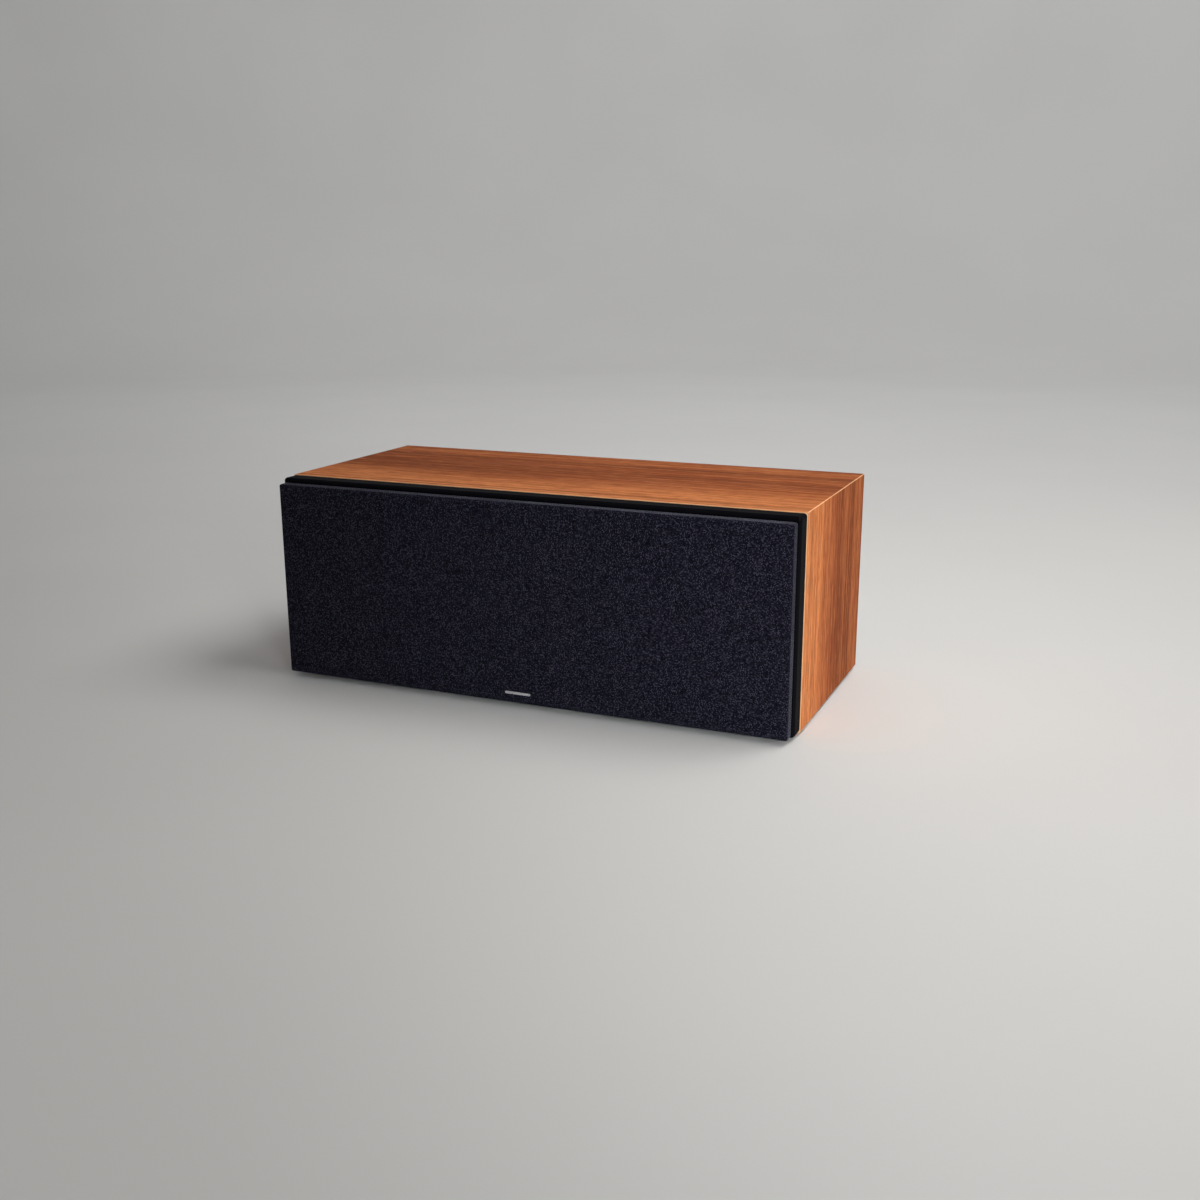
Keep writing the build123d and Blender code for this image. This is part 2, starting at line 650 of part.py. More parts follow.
def on_board(x, y, shape):
    """Stands a shape on the crossover board, with y measured back from the board's front edge."""
    top = FLOOR_Z + SPACER_HEIGHT + BOARD_THICKNESS
    return Pos(x, board_rear_y() - BOARD_DEPTH + y, top) * shape


def crossover_board():
    return span(
        (-BOARD_WIDTH / 2, BOARD_WIDTH / 2),
        (board_rear_y() - BOARD_DEPTH, board_rear_y()),
        (FLOOR_Z + SPACER_HEIGHT, FLOOR_Z + SPACER_HEIGHT + BOARD_THICKNESS),
    )


def crossover_spacers():
    spacer = Pos(0, 0, FLOOR_Z + SPACER_HEIGHT / 2) * Box(SPACER_SIDE, SPACER_SIDE, SPACER_HEIGHT)
    inset = SPACER_INSET + SPACER_SIDE / 2
    x = BOARD_WIDTH / 2 - inset
    y_places = (board_rear_y() - BOARD_DEPTH + inset, board_rear_y() - inset)
    return Compound([Pos(side * x, y, 0) * spacer for side in (-1, 1) for y in y_places])


def inductor(radius, height):
    return disc(radius, 0, height) - disc(radius * INDUCTOR_BORE_RATIO, 0, height)


def woofer_inductor():
    edge = COMPONENT_MARGIN + WOOFER_INDUCTOR_RADIUS
    return on_board(
        edge - BOARD_WIDTH / 2, edge, inductor(WOOFER_INDUCTOR_RADIUS, WOOFER_INDUCTOR_HEIGHT)
    )


def tweeter_inductor():
    edge = COMPONENT_MARGIN + TWEETER_INDUCTOR_RADIUS
    return on_board(
        BOARD_WIDTH / 2 - edge, edge, inductor(TWEETER_INDUCTOR_RADIUS, TWEETER_INDUCTOR_HEIGHT)
    )


def capacitors():
    """A row of moulded film capacitors along the board's rear edge."""
    block = Pos(0, 0, CAPACITOR_HEIGHT / 2) * Box(CAPACITOR_WIDTH, CAPACITOR_DEPTH, CAPACITOR_HEIGHT)
    block = chamfer(block.faces().sort_by(Axis.Z)[-1].edges(), CAPACITOR_BEVEL)
    pitch = CAPACITOR_WIDTH + CAPACITOR_SPACE
    y = BOARD_DEPTH - COMPONENT_MARGIN - CAPACITOR_DEPTH / 2
    return Compound([on_board(k * pitch, y, block) for k in (-1, 0, 1)])


# Damping


def damping_pad(side):
    """A fibre pad against the inside of one side panel."""
    wall = INNER_WIDTH / 2 - SEAT_CLEARANCE
    near, far = side * (wall - PAD_THICKNESS), side * wall
    pad = span(
        (min(near, far), max(near, far)),
        (LIP_BACK_Y + PAD_MARGIN, REAR_INSIDE_Y - PAD_MARGIN),
        (MID_Z - INNER_HEIGHT / 2 + PAD_MARGIN, MID_Z + INNER_HEIGHT / 2 - PAD_MARGIN),
    )
    return fillet(pad.edges().filter_by(Axis.X), PAD_EDGE_RADIUS)


def both_woofers(shape):
    """Two copies of a woofer piece, one for each side."""
    return Compound([at_baffle(x, shape) for x in WOOFER_SIDES])


def sub_parts():
    nodes = wrap_panels()
    nodes["rear_panel"] = rear_panel()
    nodes["front_baffle"] = front_baffle()
    nodes["left_brace"] = brace(-DIVIDER_X)
    nodes["right_brace"] = brace(DIVIDER_X)
    nodes["rubber_feet"] = rubber_feet()
    nodes["grille_frame"] = grille_frame()
    nodes["grille_cloth"] = grille_cloth()
    nodes["grille_pegs"] = grille_pegs()
    nodes["grille_sockets"] = grille_sockets()
    nodes["woofer_baskets"] = both_woofers(woofer_basket())
    nodes["woofer_surrounds"] = both_woofers(woofer_surround())
    nodes["woofer_cones"] = both_woofers(woofer_cone())
    nodes["woofer_voice_coils"] = both_woofers(woofer_voice_coil())
    nodes["woofer_spiders"] = both_woofers(woofer_spider())
    nodes["woofer_top_plates"] = both_woofers(woofer_top_plate())
    nodes["woofer_magnets"] = both_woofers(woofer_magnet())
    nodes["woofer_yokes"] = both_woofers(woofer_yoke())
    nodes["tweeter_faceplate"] = at_baffle(0, tweeter_faceplate())
    nodes["tweeter_dome"] = at_baffle(0, tweeter_dome())
    nodes["tweeter_motor"] = at_baffle(0, tweeter_motor())
    nodes["port_tubes"] = Compound([at_rear(x, port_tube()) for x in (-PORT_X, PORT_X)])
    nodes["terminal_cup"] = at_rear(0, terminal_cup())
    for name, side in (("positive", -1), ("negative", 1)):
        x = side * POST_SPACING / 2
        nodes[f"{name}_post"] = at_rear(x, binding_post())
        nodes[f"{name}_clamp_washer"] = at_rear(x, clamp_washer())
        nodes[f"{name}_knob"] = at_rear(x, terminal_knob())
    nodes["crossover_board"] = crossover_board()
    nodes["crossover_spacers"] = crossover_spacers()
    nodes["woofer_inductor"] = woofer_inductor()
    nodes["tweeter_inductor"] = tweeter_inductor()
    nodes["capacitors"] = capacitors()
    nodes["left_damping_pad"] = damping_pad(-1)
    nodes["right_damping_pad"] = damping_pad(1)
    return nodes


os.makedirs("parts", exist_ok=True)
for node, shape in sub_parts().items():
    export_step(shape, f"parts/{node}.step")
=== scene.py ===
import json
import math

import bmesh
import bpy
from mathutils import Matrix, Vector


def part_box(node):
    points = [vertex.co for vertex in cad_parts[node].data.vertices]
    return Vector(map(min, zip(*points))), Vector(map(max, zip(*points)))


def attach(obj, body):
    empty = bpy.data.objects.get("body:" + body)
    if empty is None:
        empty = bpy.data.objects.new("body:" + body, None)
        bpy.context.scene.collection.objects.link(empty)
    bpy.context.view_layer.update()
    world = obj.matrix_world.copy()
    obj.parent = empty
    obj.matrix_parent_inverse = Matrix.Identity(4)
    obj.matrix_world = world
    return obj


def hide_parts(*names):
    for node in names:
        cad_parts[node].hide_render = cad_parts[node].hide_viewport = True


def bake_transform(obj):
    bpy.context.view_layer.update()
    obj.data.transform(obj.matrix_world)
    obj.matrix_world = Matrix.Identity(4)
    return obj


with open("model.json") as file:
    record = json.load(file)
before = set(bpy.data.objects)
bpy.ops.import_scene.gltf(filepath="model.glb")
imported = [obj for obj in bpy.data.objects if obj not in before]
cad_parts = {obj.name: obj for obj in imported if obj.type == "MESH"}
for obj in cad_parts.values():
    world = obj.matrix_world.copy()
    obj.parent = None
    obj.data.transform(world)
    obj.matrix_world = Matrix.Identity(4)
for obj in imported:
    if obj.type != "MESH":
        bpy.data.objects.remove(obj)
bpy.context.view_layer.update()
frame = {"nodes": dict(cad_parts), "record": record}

MM = 0.001

# Camera, fitted to the cabinet's edges in the 1200 by 1200 photograph
PHOTO_SIZE = 1200
FOCAL_PIXELS = 1332.0
SENSOR_WIDTH = 36.0
CAMERA_EYE = Vector((0.5156, -1.1244, 0.4004))
CAMERA_AZIMUTH = math.radians(23.42)
CAMERA_ELEVATION = math.radians(14.87)
CAMERA_ROLL = math.radians(-0.22)

# Floor, in metres
FLOOR_RADIUS = 3.2
FLOOR_RISE = 2.0
FLOOR_SEGMENTS = 96
FLOOR_STEPS = 12
FLOOR_COLOUR = (0.70, 0.695, 0.685)
FLOOR_SHADE = 0.97

# Light of the world and the lamps
WORLD_COLOUR = (0.96, 0.98, 1.0)
WORLD_STRENGTH = 0.25
WARM_LIGHT = (1.0, 0.97, 0.93)
COOL_LIGHT = (0.97, 0.98, 1.0)
WHITE_LIGHT = (1.0, 1.0, 1.0)
OBJECT_MIDDLE = (0.0, 0.0, 0.1)
RIGHT_CORNER = (0.25, -0.1, 0.1)
BACKDROP_MIDDLE = (0.0, 5.2, 1.6)
# Name, place, target and size in metres, power in watts, colour, spread in degrees
LIGHTS = (
    ("overhead", (0.72, 0.20, 1.4), OBJECT_MIDDLE, (1.0, 0.8), 13.6, WARM_LIGHT, 180.0),
    ("right_side", (1.6, -0.20, 0.75), OBJECT_MIDDLE, (0.8, 0.8), 0.6, WARM_LIGHT, 90.0),
    ("front_right", (1.0, -1.05, 0.42), RIGHT_CORNER, (0.6, 0.5), 0.95, COOL_LIGHT, 36.0),
    ("backdrop_wash", (0.0, 1.0, 3.2), BACKDROP_MIDDLE, (3.0, 1.5), 80.0, WHITE_LIGHT, 180.0),
)

# Planes and centres of the model, in metres
WOOD_LOW, WOOD_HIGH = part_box("top_panel")
SIDE_LOW, SIDE_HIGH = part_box("right_side_panel")
BAFFLE_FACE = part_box("front_baffle")[0].y
MID_Z = (SIDE_LOW.z + SIDE_HIGH.z) / 2
WOOD_TOP = WOOD_HIGH.z
WOOD_BOTTOM = SIDE_LOW.z
WOOD_FRONT = WOOD_LOW.y
WOOD_DEPTH = WOOD_HIGH.y - WOOD_LOW.y
WOOD_HALF = WOOD_HIGH.x
CLOTH_LOW, CLOTH_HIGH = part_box("grille_cloth")
CLOTH_MID_Z = (CLOTH_LOW.z + CLOTH_HIGH.z) / 2
CONE_LOW, CONE_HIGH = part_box("woofer_cones")
CONE_RADIUS = (CONE_HIGH.z - CONE_LOW.z) / 2
WOOFER_X = CONE_HIGH.x - CONE_RADIUS
PORT_LOW, PORT_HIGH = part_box("port_tubes")
PORT_FLANGE_RADIUS = (PORT_HIGH.z - PORT_LOW.z) / 2
PORT_X = PORT_HIGH.x - PORT_FLANGE_RADIUS
REAR_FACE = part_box("rear_panel")[1].y


# Materials


class Surface:
    """A procedural material in the making: a principled shader, and helpers that add nodes in front of it."""

    def __init__(self, name, **values):
        self.material = bpy.data.materials.new(name)
        self.material.use_nodes = True
        self.tree = self.material.node_tree
        self.tree.nodes.clear()
        output = self.add("ShaderNodeOutputMaterial")
        self.shader = self.add("ShaderNodeBsdfPrincipled")
        self.tree.links.new(self.shader.outputs["BSDF"], output.inputs["Surface"])
        self.place = self.add("ShaderNodeTexCoord").outputs["Object"]
        for socket, value in values.items():
            self.feed(self.shader, socket.replace("_", " ").title().replace("Ior", "IOR"), value)

    def add(self, kind, **settings):
        node = self.tree.nodes.new(kind)
        for key, value in settings.items():
            setattr(node, key, value)
        return node

    def feed(self, node, socket, value):
        """Links an output to a socket, or sets the socket to a number or colour."""
        target = node.inputs[socket]
        if isinstance(value, bpy.types.NodeSocket):
            self.tree.links.new(value, target)
        elif hasattr(value, "__len__") and len(value) == 3 and target.type == "RGBA":
            target.default_value = (*value, 1.0)
        else:
            target.default_value = value

    def math(self, operation, *values):
        node = self.add("ShaderNodeMath", operation=operation)
        for k, value in enumerate(values):
            self.feed(node, k, value)
        return node.outputs[0]

    def split(self):
        node = self.add("ShaderNodeSeparateXYZ")
        self.feed(node, 0, self.place)
        return node.outputs

    def join(self, *values):
        node = self.add("ShaderNodeCombineXYZ")
        for k, value in enumerate(values):
            self.feed(node, k, value)
        return node.outputs[0]

    def noise(self, place, scale=1.0, detail=2.0, roughness=0.5):
        node = self.add("ShaderNodeTexNoise")
        self.feed(node, "Vector", place)
        self.feed(node, "Scale", scale)
        self.feed(node, "Detail", detail)
        self.feed(node, "Roughness", roughness)
        return node.outputs[0]

    def random(self, first, second):
        """A fixed random number for each pair of whole numbers."""
        node = self.add("ShaderNodeTexWhiteNoise", noise_dimensions="2D")
        self.feed(node, "Vector", self.join(first, second, 0.0))
        return node.outputs["Value"]

    def range(self, value, low, high, start=0.0, end=1.0):
        """Goes smoothly from start to end as the value goes from low to high."""
        node = self.add("ShaderNodeMapRange", interpolation_type="SMOOTHSTEP")
        for k, number in enumerate((value, low, high, start, end)):
            self.feed(node, k, number)
        return node.outputs[0]

    def ramp(self, value, *stops):
        node = self.add("ShaderNodeValToRGB")
        band = node.color_ramp
        while len(band.elements) < len(stops):
            band.elements.new(1.0)
        for element, (position, colour) in zip(band.elements, stops):
            element.position = position
            element.color = (*colour, 1.0)
        self.feed(node, 0, value)
        return node.outputs[0]

    def mix(self, factor, first, second):
        node = self.add("ShaderNodeMix", data_type="RGBA")
        self.feed(node, 0, factor)
        self.feed(node, 6, first)
        self.feed(node, 7, second)
        return node.outputs[2]

    def colour(self, value):
        self.feed(self.shader, "Base Color", value)

    def rough(self, value):
        self.feed(self.shader, "Roughness", value)

    def bump(self, height, distance, strength=1.0):
        node = self.add("ShaderNodeBump")
        self.feed(node, "Height", height)
        self.feed(node, "Distance", distance)
        self.feed(node, "Strength", strength)
        self.feed(self.shader, "Normal", node.outputs[0])


WALNUT_DARK = (0.17, 0.040, 0.014)
WALNUT_DEEP = (0.115, 0.026, 0.009)
WALNUT_LIGHT = (0.70, 0.275, 0.100)

# Colours over the depth, from the front edge at 0 to the back edge at 1
WALNUT_BANDS = (
    (0.00, (0.70, 0.252, 0.090)),
    (0.25, (0.62, 0.205, 0.071)),
    (0.34, (0.42, 0.120, 0.041)),
    (0.48, (0.31, 0.080, 0.027)),
    (0.60, (0.21, 0.050, 0.017)),
    (0.66, (0.42, 0.122, 0.043)),
    (0.73, (0.30, 0.076, 0.025)),
    (0.80, (0.15, 0.035, 0.012)),
    (0.84, (0.36, 0.100, 0.034)),
    (0.92, (0.37, 0.108, 0.037)),
    (1.00, (0.33, 0.094, 0.034)),
)
GRAIN_SWAY = 0.09

# Dark hearts of the walnut figure; the first, on the left of the top, is also painted shade where less light
# falls there: centre and size, along and across the grain in metres, and strength
WALNUT_HEARTS_AND_SHADE = (
    ((-0.16, 0.02), (0.19, 0.055), 0.90),
    ((0.06, 0.03), (0.16, 0.045), 0.30),
    ((0.40, 0.05), (0.12, 0.040), 0.75),
)
KNOT_PLACE = (-0.2033, 0.0759)
KNOT_SIZE = (0.020, 0.010)
KNOT_BEND = 0.10
KNOT_STRENGTH = 0.6

# Layers of the figure: scale along the grain, what it runs over and the scale over that, seed and detail,
# then tints. A tint is a colour, the values between which it changes, and its strength at each of them.
WALNUT_LAYERS = {
    "line": (
        (1.1, "grain", 48.0, 1.3, 3.0),
        ((WALNUT_DARK, 0.50, 0.68, 0.0, 0.60), (WALNUT_LIGHT, 0.30, 0.48, 0.32, 0.0)),
    ),
    "streak": (
        (7.0, "grain", 75.0, 7.9, 3.0),
        ((WALNUT_DEEP, 0.52, 0.72, 0.0, 0.25),),
    ),
    "thread": (
        (9.0, "across", 420.0, 4.4, 2.0),
        ((WALNUT_DARK, 0.52, 0.66, 0.0, 0.38), (WALNUT_LIGHT, 0.34, 0.48, 0.26, 0.0)),
    ),
    "fleck": (
        (75.0, "across", 700.0, 2.1, 2.0),
        ((WALNUT_LIGHT, 0.53, 0.70, 0.0, 0.14), (WALNUT_DARK, 0.34, 0.48, 0.36, 0.0)),
    ),
    "dash": (
        (46.0, "across", 290.0, 6.3, 2.0),
        ((WALNUT_DARK, 0.52, 0.66, 0.0, 0.34), (WALNUT_LIGHT, 0.32, 0.47, 0.16, 0.0)),
    ),
}
PORE_DEPTH = 0.06 * MM
# Painted highlight: a pale line along the mitres and the front edge, where the rounded edges catch the light
WALNUT_EDGE_HIGHLIGHT = (0.92, 0.56, 0.30)
EDGE_HIGHLIGHT_FULL = 0.1 * MM
EDGE_HIGHLIGHT_GONE = 0.7 * MM
EDGE_HIGHLIGHT_STRENGTH = 0.75


def veneer_places(s):
    """Places on the wrap: along the grain, across it, and inwards from the mitres and the front edge."""
    x, y, z = s.split()
    fall = s.math("SUBTRACT", WOOD_TOP, z)
    rise = s.math("SUBTRACT", z, WOOD_BOTTOM)
    edge_flat = s.math("MINIMUM", fall, rise)
    edge_side = s.math("SUBTRACT", WOOD_HALF, s.math("ABSOLUTE", x))
    on_side = s.math("LESS_THAN", edge_side, edge_flat)
    down = s.math("MULTIPLY", s.math("SIGN", x), s.math("ADD", fall, edge_side))
    along = s.math("MULTIPLY_ADD", on_side, down, x)
    across = s.math("ADD", y, s.math("MINIMUM", edge_side, edge_flat))
    mitre = s.math("MAXIMUM", edge_side, fall)
    edge = s.math("MINIMUM", mitre, s.math("SUBTRACT", y, WOOD_FRONT))
    return along, across, edge


def walnut():
    """Walnut veneer whose grain runs along the top and on down the sides, in broad bands over the depth."""
    s = Surface("walnut", specular_ior_level=0.005)
    along, across, edge = veneer_places(s)
    depth = s.math("DIVIDE", s.math("SUBTRACT", across, WOOD_FRONT), WOOD_DEPTH)
    y = s.split()[1]

    def grain_noise(along_scale, over, over_scale, seed, detail):
        place = s.join(s.math("MULTIPLY", along, along_scale), s.math("MULTIPLY", over, over_scale), seed)
        return s.noise(place, detail=detail)

    def patch(centre, size):
        parts = []
        for value, middle, reach in zip((along, y), centre, size):
            off = s.math("DIVIDE", s.math("SUBTRACT", value, middle), reach)
            parts.append(s.math("MULTIPLY", off, off))
        return s.math("EXPONENT", s.math("MULTIPLY", s.math("ADD", *parts), -1.0))

    sway = s.math("SUBTRACT", grain_noise(1.7, depth, 0.9, 3.7, 1.0), 0.5)
    knot = patch(KNOT_PLACE, KNOT_SIZE)
    grain = s.math("MULTIPLY_ADD", sway, GRAIN_SWAY, depth)
    grain = s.math("MULTIPLY_ADD", knot, KNOT_BEND, grain)
    base = s.ramp(grain, *WALNUT_BANDS)
    # The hearts darken the wood; the first also paints shade over the left of the top
    for centre, size, strength in WALNUT_HEARTS_AND_SHADE:
        base = s.mix(s.math("MULTIPLY", patch(centre, size), strength), base, WALNUT_DARK)
    spans = {"grain": grain, "across": across}
    layers = {}
    for name, ((along_scale, span, *texture), tints) in WALNUT_LAYERS.items():
        layers[name] = grain_noise(along_scale, spans[span], *texture)
        for colour, *limits in tints:
            base = s.mix(s.range(layers[name], *limits), base, colour)
    pores = s.range(grain_noise(60.0, across, 1150.0, 5.5, 2.0), 0.54, 0.66, 0.0, 0.45)
    base = s.mix(pores, base, WALNUT_DEEP)
    base = s.mix(s.math("MULTIPLY", knot, KNOT_STRENGTH), base, WALNUT_DEEP)
    # Painted highlight along the mitres and the front edge
    base = s.mix(s.range(edge, EDGE_HIGHLIGHT_FULL, EDGE_HIGHLIGHT_GONE, EDGE_HIGHLIGHT_STRENGTH, 0.0), base, WALNUT_EDGE_HIGHLIGHT)
    s.colour(base)
    s.rough(s.range(layers["streak"], 0.3, 0.7, 0.42, 0.58))
    s.bump(s.math("SUBTRACT", 1.0, pores), PORE_DEPTH, 0.6)
    return s.material


def lacquer():
    """Black lacquer with a faint haze and a slightly uneven gloss."""
    s = Surface(
        "black_lacquer",
        base_color=(0.003, 0.003, 0.0042),
        specular_ior_level=0.0,
        coat_weight=0.07,
        coat_roughness=0.06,
    )
    haze = s.noise(s.place, 45.0, 3.0)
    s.rough(s.range(haze, 0.3, 0.7, 0.18, 0.28))
    s.bump(s.noise(s.place, 420.0, 1.0), 0.02 * MM, 0.35)
    return s.material


CLOTH_PITCH = 0.9 * MM
CLOTH_DARK = (0.0016, 0.0016, 0.0040)
CLOTH_MID = (0.0096, 0.0094, 0.0174)
CLOTH_LIGHT = (0.060, 0.059, 0.086)
GOLDEN_SHIFT = 0.618
SLUB_RUN = 1.6
SLUB_SHARE = 0.5


def cloth():
    """An open weave with its threads wrapped round the edges, and slubs that catch the light."""
    s = Surface(
        "grille_cloth",
        roughness=0.9,
        specular_ior_level=0.05,
        sheen_weight=0.16,
        sheen_roughness=0.25,
        sheen_tint=(0.78, 0.80, 0.95),
    )
    x, y, z = s.split()
    round_edge = s.math("SUBTRACT", y, CLOTH_LOW.y)
    up = s.math("SUBTRACT", z, CLOTH_MID_Z)

    def thread(value):
        wrapped = s.math("MULTIPLY_ADD", s.math("SIGN", value), round_edge, value)
        count = s.math("DIVIDE", wrapped, CLOTH_PITCH)
        crest = s.math("SINE", s.math("MULTIPLY", s.math("FRACT", count), math.pi))
        return s.math("FLOOR", count), crest

    def slub(first, second):
        run = s.math("MULTIPLY_ADD", second, GOLDEN_SHIFT, s.math("DIVIDE", first, SLUB_RUN))
        return s.random(s.math("FLOOR", run), second)

    column, ridge_x = thread(x)
    row, ridge_z = thread(up)
    over = s.math("MODULO", s.math("ABSOLUTE", s.math("ADD", column, row)), 2.0)
    first = s.math("MULTIPLY", s.math("MULTIPLY", ridge_x, over), s.math("POWER", ridge_z, 0.5))
    second = s.math("MULTIPLY", s.math("SUBTRACT", 1.0, over), s.math("POWER", ridge_x, 0.5))
    height = s.math("MULTIPLY_ADD", second, ridge_z, first)
    weft, warp = slub(column, row), slub(row, column)
    dash = s.math("MULTIPLY_ADD", over, s.math("SUBTRACT", weft, warp), warp)
    single = s.math("MULTIPLY", s.random(row, column), 1.0 - SLUB_SHARE)
    chance = s.math("MULTIPLY_ADD", dash, SLUB_SHARE, single)
    base = s.mix(s.range(chance, 0.10, 0.55), CLOTH_DARK, CLOTH_MID)
    base = s.mix(s.range(chance, 0.52, 0.90, 0.0, 0.8), base, CLOTH_LIGHT)
    base = s.mix(s.range(height, 0.0, 0.7, 0.55, 0.0), base, CLOTH_DARK)
    s.colour(base)
    s.bump(height, 0.2 * CLOTH_PITCH, 0.7)
    return s.material


def moulded(name, colour, roughness=0.5, grain=2200.0, depth=0.03 * MM):
    """Moulded plastic or paint: an even colour with a fine texture and slightly uneven sheen."""
    s = Surface(name, specular_ior_level=0.45)
    cloud = s.noise(s.place, 26.0, 3.0)
    pale = tuple(min(1.0, c * 1.35 + 0.002) for c in colour)
    s.colour(s.mix(s.range(cloud, 0.35, 0.75), colour, pale))
    s.rough(s.range(cloud, 0.3, 0.7, roughness - 0.06, roughness + 0.08))
    s.bump(s.noise(s.place, grain, 2.0), depth, 0.7)
    return s.material


def metal(name, colour, roughness=0.3, turned=0.0):
    """Metal with duller clouds, a fine grain and, where it was turned, tool lines along Y."""
    s = Surface(name, metallic=1.0)
    cloud = s.noise(s.place, 60.0, 4.0)
    wear_and_groove_shade = tuple(c * 0.78 for c in colour)
    s.colour(s.mix(s.range(cloud, 0.35, 0.75), colour, wear_and_groove_shade))
    s.rough(s.range(cloud, 0.3, 0.7, roughness - 0.05, roughness + 0.1))
    lines = s.math("SINE", s.math("MULTIPLY", s.split()[1], turned))
    grain = s.noise(s.place, 900.0, 2.0)
    s.bump(s.math("MULTIPLY_ADD", lines, 0.5 if turned else 0.0, grain), 0.02 * MM, 0.5)
    return s.material


def pulp(name, colour, fibre_scale=520.0):
    """Pressed paper pulp with short fibres."""
    s = Surface(name, specular_ior_level=0.3)
    fibres = s.noise(s.place, fibre_scale, 5.0, 0.7)
    pale = tuple(c * 2.1 + 0.004 for c in colour)
    s.colour(s.mix(s.range(fibres, 0.48, 0.68), colour, pale))
    s.rough(s.range(fibres, 0.3, 0.7, 0.62, 0.8))
    s.bump(fibres, 0.12 * MM, 0.6)
    return s.material


def weave(name, pitch, dark, light):
    """A coated plain weave in X and Z, for the formed cloth of the drivers."""
    s = Surface(name, roughness=0.7, specular_ior_level=0.35)
    x, _, z = s.split()
    waves = [s.math("SINE", s.math("MULTIPLY", v, math.pi / pitch)) for v in (x, z)]
    cross = s.math("MULTIPLY_ADD", s.math("MULTIPLY", waves[0], waves[1]), 0.5, 0.5)
    s.colour(s.mix(cross, dark, light))
    s.bump(cross, 0.3 * pitch, 0.5)
    return s.material


def winding(name, colour, pitch, axis):
    """Turns of enamelled wire, as fine ridges along one axis, with painted shade in the grooves between them.
    """
    s = Surface(name, metallic=0.9, roughness=0.32)
    turns = s.math("SINE", s.math("MULTIPLY", s.split()[axis], 2 * math.pi / pitch))
    wear_and_groove_shade = tuple(c * 0.6 for c in colour)
    # Painted shade: the wire is darker in the grooves between its turns
    s.colour(s.mix(s.range(turns, -1.0, 1.0), wear_and_groove_shade, colour))
    s.bump(turns, 0.3 * pitch, 0.7)
    return s.material


def fibre(name, colour):
    """Loose wadding of fine strands."""
    s = Surface(name, roughness=0.95, sheen_weight=0.2)
    strands = s.noise(s.place, 240.0, 6.0, 0.75)
    grey = tuple(c * 0.68 for c in colour)
    s.colour(s.mix(s.range(strands, 0.4, 0.7), grey, colour))
    s.bump(strands, 1.2 * MM, 0.8)
    return s.material


def board(name, colour):
    """Raw pressed board with flecks."""
    s = Surface(name, roughness=0.8)
    flecks = s.noise(s.place, 700.0, 4.0, 0.7)
    dark = tuple(c * 0.7 for c in colour)
    s.colour(s.mix(s.range(flecks, 0.4, 0.65), dark, colour))
    s.bump(flecks, 0.1 * MM, 0.5)
    return s.material


BLACK = (0.011, 0.011, 0.012)
MATERIALS = {
    "walnut": walnut(),
    "black_lacquer": lacquer(),
    "black_board": moulded("black_board", (0.013, 0.013, 0.014), 0.5, 1500.0, 0.06 * MM),
    "plain_board": board("plain_board", (0.42, 0.28, 0.15)),
    "foot_rubber": moulded("foot_rubber", (0.014, 0.014, 0.014), 0.8, 900.0, 0.06 * MM),
    "grille_plastic": moulded("grille_plastic", BLACK, 0.55),
    "grille_cloth": cloth(),
    "socket_rubber": moulded("socket_rubber", (0.013, 0.013, 0.013), 0.75, 1200.0),
    "cast_basket": moulded("cast_basket", (0.018, 0.018, 0.019), 0.42, 1100.0, 0.07 * MM),
    "surround_rubber": moulded("surround_rubber", (0.012, 0.012, 0.013), 0.46, 3000.0, 0.01 * MM),
    "cone_paper": pulp("cone_paper", (0.020, 0.020, 0.022)),
    "coil_metal": winding("coil_metal", (0.75, 0.75, 0.77), 0.6 * MM, 1),
    "spider_weave": weave("spider_weave", 0.9 * MM, (0.20, 0.11, 0.03), (0.45, 0.27, 0.09)),
    "plated_steel": metal("plated_steel", (0.62, 0.61, 0.58), 0.34, 5200.0),
    "ferrite": moulded("ferrite", (0.055, 0.055, 0.06), 0.6, 800.0, 0.09 * MM),
    "faceplate_plastic": moulded("faceplate_plastic", BLACK, 0.42, 2600.0),
    "dome_weave": weave("dome_weave", 0.45 * MM, (0.010, 0.010, 0.011), (0.034, 0.034, 0.037)),
    "motor_paint": moulded("motor_paint", (0.016, 0.016, 0.017), 0.4, 1300.0),
    "port_plastic": moulded("port_plastic", BLACK, 0.5, 1700.0),
    "cup_plastic": moulded("cup_plastic", BLACK, 0.48, 1700.0, 0.05 * MM),
    "terminal_brass": metal("terminal_brass", (0.86, 0.62, 0.26), 0.2, 4200.0),
    "red_knob": moulded("red_knob", (0.36, 0.008, 0.010), 0.24, 900.0, 0.01 * MM),
    "black_knob": moulded("black_knob", (0.012, 0.012, 0.012), 0.24, 900.0, 0.01 * MM),
    "board_green": moulded("board_green", (0.012, 0.075, 0.03), 0.4, 300.0),
    "spacer_plastic": moulded("spacer_plastic", (0.62, 0.60, 0.52), 0.5),
    "coil_copper": winding("coil_copper", (0.72, 0.30, 0.13), 1.4 * MM, 2),
    "capacitor_plastic": moulded("capacitor_plastic", (0.42, 0.24, 0.03), 0.4, 400.0),
    "fibre_pad": fibre("fibre_pad", (0.70, 0.69, 0.66)),
}
SCREW_METAL = metal("screw_metal", (0.05, 0.05, 0.055), 0.38)
BADGE_METAL = metal("badge_metal", (0.80, 0.81, 0.83), 0.26)


def dress_nodes():
    """Gives every CAD node the material of its slot in the record."""
    slots = {part["node"]: part["material_slot"] for part in frame["record"]["subparts"]}
    for name, node in frame["nodes"].items():
        node.data.materials.clear()
        node.data.materials.append(MATERIALS[slots[name]])


# Mesh helpers

FINE_SEGMENTS = 96
MEDIUM_SEGMENTS = 72


